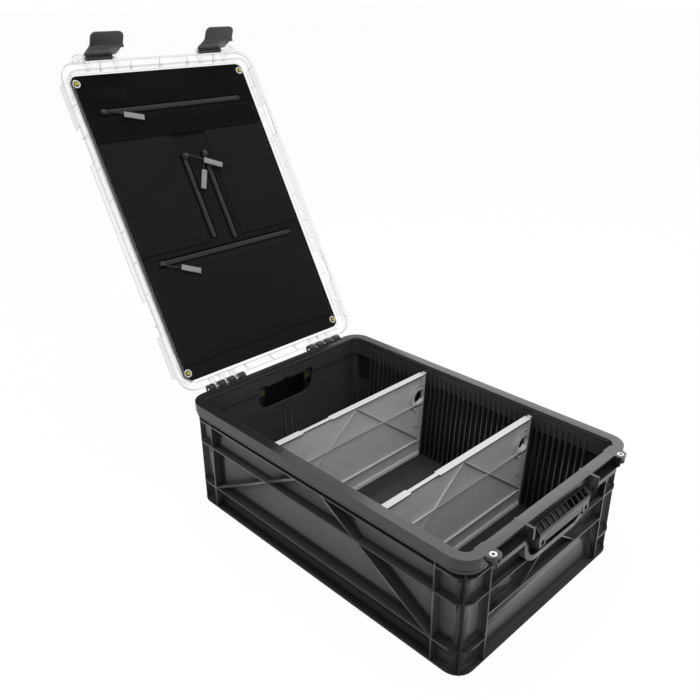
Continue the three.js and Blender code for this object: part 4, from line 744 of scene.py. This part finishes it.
# %% Sliders and pulls
pull_angles = {"top": -15, "bottom": -24, "left": -24, "right": -116}
cord_radius, cord_steps, eye_steps = 0.78 * mm, 22, 12
far = 36 * mm
for place, (x, reach, _, angle, at) in zip_runs.items():
    lift = 3.5 * mm if place == "left" else 0.0
    spot = (x + at * math.cos(angle), reach + at * math.sin(angle), 0)
    body = slab(5.6 * mm, 4.4 * mm, 2.2 * mm, 1.9 * mm, 5.1 * mm, 0.8 * mm, 5)
    nose = slab(2.2 * mm, 1.5 * mm, 1.2 * mm, 4.6 * mm, 5.5 * mm, 0.5 * mm, 4)
    top = 7.6 * mm + lift
    post = turned([(1.1 * mm, 4.6 * mm), (1.1 * mm, top - 0.6 * mm), (0.9 * mm, top - 0.4 * mm)], 16)
    turn = np.linspace(0, 2 * math.pi, 16, endpoint=False)
    ring = turned(np.column_stack([2.5 * mm + 0.55 * mm * np.cos(turn), top + 0.5 * mm * np.sin(turn)]), 24,
                  hollow=True)
    parts = [on_board(turned_to(part, angle, spot)) for part in (body, nose, post)]
    name = f"zip_slider_{place}"
    slider = piece_of(f"zip_body_{place}", mesh_of(f"zip_body_{place}", *parts), name)
    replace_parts(slider, name)
    ring = mesh_of(f"zip_ring_{place}", on_board(turned_to(ring, angle, spot)))
    piece_of(f"zip_ring_{place}", ring, name, ring_metal)

    swing = math.radians(pull_angles[place])
    level = 6.2 * mm + lift
    run = np.linspace(0, 1, cord_steps)
    bow = 2.2 * mm * np.sin(math.pi * run) * (1 if place in ("left", "top") else -1)
    strands = []
    for side in (-1, 1):
        apart = side * (1.7 * mm * (1 - smooth_step(run * 3)) + 0.8 * mm)
        path = np.column_stack([0.6 * mm + (far + 0.8 * mm) * run, apart + bow, np.full(cord_steps, level)])
        strands.append(tube(path, cord_radius, 8))
    around = np.linspace(math.pi / 2, 3 * math.pi / 2, eye_steps)
    eye = tube(np.column_stack([0.6 * mm + 2.5 * mm * np.cos(around), 2.5 * mm * np.sin(around),
                                np.full(eye_steps, level)]), cord_radius, 8)
    collar = slab(1.6 * mm, 1.9 * mm, 0.9 * mm, level - 0.9 * mm, level + 1.0 * mm, 0.4 * mm, 4)
    collar = turned_to(collar, 0, (far, 0, 0))
    tab = slab(19 * mm, 5 * mm, 0.9 * mm, 5.4 * mm + lift, 7.9 * mm + lift, 0.5 * mm, 5)
    tab = turned_to(tab, 0, (far + 19 * mm, 0, 0))
    name = f"zip_pull_{place}"
    cords = [on_board(turned_to(part, swing, spot)) for part in (*strands, eye, collar)]
    piece_of(f"pull_cord_{place}", mesh_of(f"pull_cord_{place}", *cords), name, cord_black)
    tab = mesh_of(f"pull_tab_{place}", on_board(turned_to(tab, swing, spot)))
    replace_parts(piece_of(f"pull_tab_{place}", tab, name), name)
print(len(zip_runs), "sliders and pulls, the last tab of", len(tab.polygons), "faces")

# %% [markdown]
# ## Patch
# A plain patch is sewn near the board's free end. It is a thin bar with a raised field, and it stays bare.

# %% Patch
patch_place = (-123 * mm, 547 * mm, 0)
patch = turned_to(slab(35 * mm, 13 * mm, 2 * mm, 0.1 * mm, 1.0 * mm, 0.4 * mm, 4), 0, patch_place)
field = turned_to(slab(31.5 * mm, 9.5 * mm, 1.5 * mm, 0.6 * mm, 1.4 * mm, 0.4 * mm, 4), 0, patch_place)
piece_of("patch_plain", mesh_of("patch_plain", on_board(patch), on_board(field)), "organiser_board", patch_black)
print("patch of", len(patch[1]) + len(field[1]), "faces")

# %% [markdown]
# ## Turned fittings
# Eyelets, screws, inserts and pins come off a lathe, so each is a profile of radius and height swept round an
# axis, with its edges broken as a cutter leaves them. Their places and lengths are read from the measured solids.

# %% Turned fittings
def on_axis(shape, centre, axis):
    """Carries a part that was turned about Z to a centre, with its top towards an axis."""
    points, faces = shape
    turn = np.array(Vector((0, 0, 1)).rotation_difference(Vector(axis)).to_matrix())
    return points @ turn.T + np.array(centre), faces


def socket_screw(head, shank, low, neck, top, depth=0.6):
    """A round head on a shank, with a socket as deep as its share of the head. The last two rings are six-sided: a
    hexagon's radius at an angle is 1 over the cosine of the angle from the middle of its flat."""
    sides = 24
    rise = top - neck
    profile = [(0.8 * shank, low), (shank, low + 0.3 * mm), (shank, neck), (0.96 * head, neck),
               (head, neck + 0.1 * rise), (head, neck + 0.7 * rise), (0.95 * head, neck + 0.9 * rise),
               (0.86 * head, top), (0.5 * head, top), (0.48 * head, top - depth * rise)]
    points, faces = turned(profile, sides)
    rings = points.reshape(len(profile), sides, 3).copy()
    angle = np.linspace(0, 2 * math.pi, sides, endpoint=False)
    six = math.cos(math.pi / 6) / np.cos(np.mod(angle, math.pi / 3) - math.pi / 6)
    rings[-2:, :, :2] *= six[None, :, None] * 1.1
    return rings.reshape(-1, 3), faces


def fitting(node, shape, finish=None):
    """Puts a turned shape in a solid's place. Its bends of over 30 degrees are edges."""
    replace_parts(piece_of(node + "_turned", mesh_of(node + "_turned", shape, smooth=30), node, finish), node)


def middle(node):
    """Centre and half size of a measured solid."""
    low, high = (np.array(corner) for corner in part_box(node))
    return (low + high) / 2, (high - low) / 2


def pin(radius, half):
    """A plain pin about Z with a broken edge at each end."""
    return turned([(radius - 0.4 * mm, -half), (radius, -half + 0.4 * mm), (radius, half - 0.4 * mm),
                   (radius - 0.4 * mm, half)], 24)


for side in ("left", "right"):
    for node, radius in ((f"hinge_pin_{side}", 2.5 * mm), (f"latch_pin_{side}", 1.8 * mm)):
        centre, half = middle(node)
        fitting(node, on_axis(pin(radius, half[0]), centre, (1, 0, 0)))
    centre, half = middle(f"eyelet_{side}")
    top = half[2]
    fitting(f"eyelet_{side}", on_axis(turned([
        (2.4 * mm, -top), (3.2 * mm, -top), (3.2 * mm, top - 0.9 * mm), (5.2 * mm, top - 0.9 * mm),
        (5.5 * mm, top - 0.6 * mm), (5.4 * mm, top - 0.2 * mm), (5.0 * mm, top), (2.6 * mm, top),
        (2.4 * mm, top - 0.3 * mm)], 32, hollow=True), centre, (0, 0, 1)))
    for end, facing in (("front", -1), ("rear", 1)):
        centre, half = middle(f"handle_screw_{end}_{side}")
        fitting(f"handle_screw_{end}_{side}", on_axis(
            socket_screw(3.6 * mm, 2.0 * mm, -half[1], half[1] - 2.4 * mm, half[1]), centre, (0, facing, 0)))
        centre, half = middle(f"handle_insert_{end}_{side}")
        bush = turned([(2.25 * mm, -half[1]), (4.5 * mm, -half[1]), (4.5 * mm, half[1]), (2.25 * mm, half[1])],
                      28, hollow=True)
        fitting(f"handle_insert_{end}_{side}", on_axis(bush, centre, (0, facing, 0)))

washer = turned([(5.3 * mm, 0.3 * mm), (6.7 * mm, 0.3 * mm), (7.0 * mm, 0.6 * mm), (7.0 * mm, 1.8 * mm),
                 (6.6 * mm, 2.3 * mm), (5.8 * mm, 2.3 * mm), (5.3 * mm, 1.9 * mm)], 36, hollow=True)
dish = turned([(2.1 * mm, 0.3 * mm), (5.3 * mm, 0.3 * mm), (5.3 * mm, 1.7 * mm), (4.2 * mm, 1.3 * mm),
               (2.1 * mm, 1.3 * mm)], 36, hollow=True)
corner_screw = socket_screw(3.5 * mm, 2.0 * mm, -5.4 * mm, 2.6 * mm, 4.2 * mm)
for hand, x in (("left", -173.5 * mm), ("right", 173.5 * mm)):
    for end, reach in (("near", 38.9 * mm), ("far", 570.9 * mm)):
        place, spot = f"{hand}_{end}", (x, reach, 0)
        fitting(f"fixing_washer_{place}", on_board(turned_to(washer, 0, spot)), finish=milky)
        piece_of(f"fixing_dish_{place}", mesh_of(f"fixing_dish_{place}", on_board(turned_to(dish, 0, spot))),
                 f"fixing_washer_{place}", lever_black)
        fitting(f"fixing_screw_{place}", on_board(turned_to(corner_screw, 0, spot)))

# %% [markdown]
# ## Studio
# The crate stands on a white floor in a white room, as in a product photograph. A broad lamp hangs overhead, so
# tops are bright and walls are not. A weaker one lights the front, and one behind, which alone shows in
# reflections, draws a soft gradient on the front rim. The room is white to the camera, to
# reflections and through the clear lid, and dimmer as a source of light.

# %% Studio
room_light, room_seen = 0.6, 1.0  # the room's strength as a source of light, and as what is seen of it
floor_whiteness, floor_span = 0.96, 40.0


def lamp(name, place, target, size, power, mirrored=False):
    """A rectangular lamp that looks at a target; only a mirrored one shows in reflections."""
    light = bpy.data.lights.new(name, "AREA")
    light.shape, light.size, light.size_y = "RECTANGLE", size[0], size[1]
    light.energy = power
    holder = bpy.data.objects.new(name, light)
    holder.location = place
    holder.rotation_euler = (Vector(target) - Vector(place)).to_track_quat("-Z", "Y").to_euler()
    holder.visible_glossy = mirrored
    bpy.context.scene.collection.objects.link(holder)


lamp("overhead", (-0.2, -0.1, 2.4), (0, 0, 0.1), (2.2, 2.2), 38)
lamp("front", (-0.5, -1.7, 2.1), (0, 0, 0.1), (1.6, 1.2), 12)
lamp("behind", (2.2, 1.1, 1.9), (0, 0, 0.15), (1.6, 1.6), 10, mirrored=True)

world = bpy.data.worlds.new("studio")
world.use_nodes = True
bpy.context.scene.world = world
sky = world.node_tree
background = sky.nodes["Background"]
path = sky.nodes.new("ShaderNodeLightPath")
seen = sky.nodes.new("ShaderNodeMath")
seen.operation = "MAXIMUM"
seen_more = sky.nodes.new("ShaderNodeMath")
seen_more.operation = "MAXIMUM"
strength = sky.nodes.new("ShaderNodeMapRange")
strength.inputs["To Min"].default_value = room_light
strength.inputs["To Max"].default_value = room_seen
sky.links.new(path.outputs["Is Camera Ray"], seen.inputs[0])
sky.links.new(path.outputs["Is Glossy Ray"], seen.inputs[1])
sky.links.new(seen.outputs[0], seen_more.inputs[0])
sky.links.new(path.outputs["Is Transmission Ray"], seen_more.inputs[1])
sky.links.new(seen_more.outputs[0], strength.inputs["Value"])
sky.links.new(strength.outputs["Result"], background.inputs["Strength"])
background.inputs["Color"].default_value = (1, 1, 1, 1)

floor_finish = Finish("floor")
floor_finish.set(base_color=grey(0.85), roughness=0.9, specular_ior_level=0.0)
looks = floor_finish.add("LightPath", take="Is Camera Ray")
seen_at_all = looks + looks.also("Is Glossy Ray") + looks.also("Is Transmission Ray")
white = floor_finish.add("Emission", sockets={"Color": grey(1.0), "Strength": 1.0})
floor_finish.mix_in(floor_whiteness * seen_at_all.limited(), white)
floor_mesh = bpy.data.meshes.new("floor")
floor_mesh.from_pydata([(x * floor_span, y * floor_span, 0) for x, y in ((-1, -1), (1, -1), (1, 1), (-1, 1))],
                       [], [(0, 1, 2, 3)])
floor_mesh.materials.append(floor_finish.material)
floor = bpy.data.objects.new("floor", floor_mesh)
bpy.context.scene.collection.objects.link(floor)
print(len(bpy.data.lights), "lamps over a floor of", 2 * floor_span, "m")

# %% Colour
bpy.context.scene.view_settings.view_transform = "Standard"
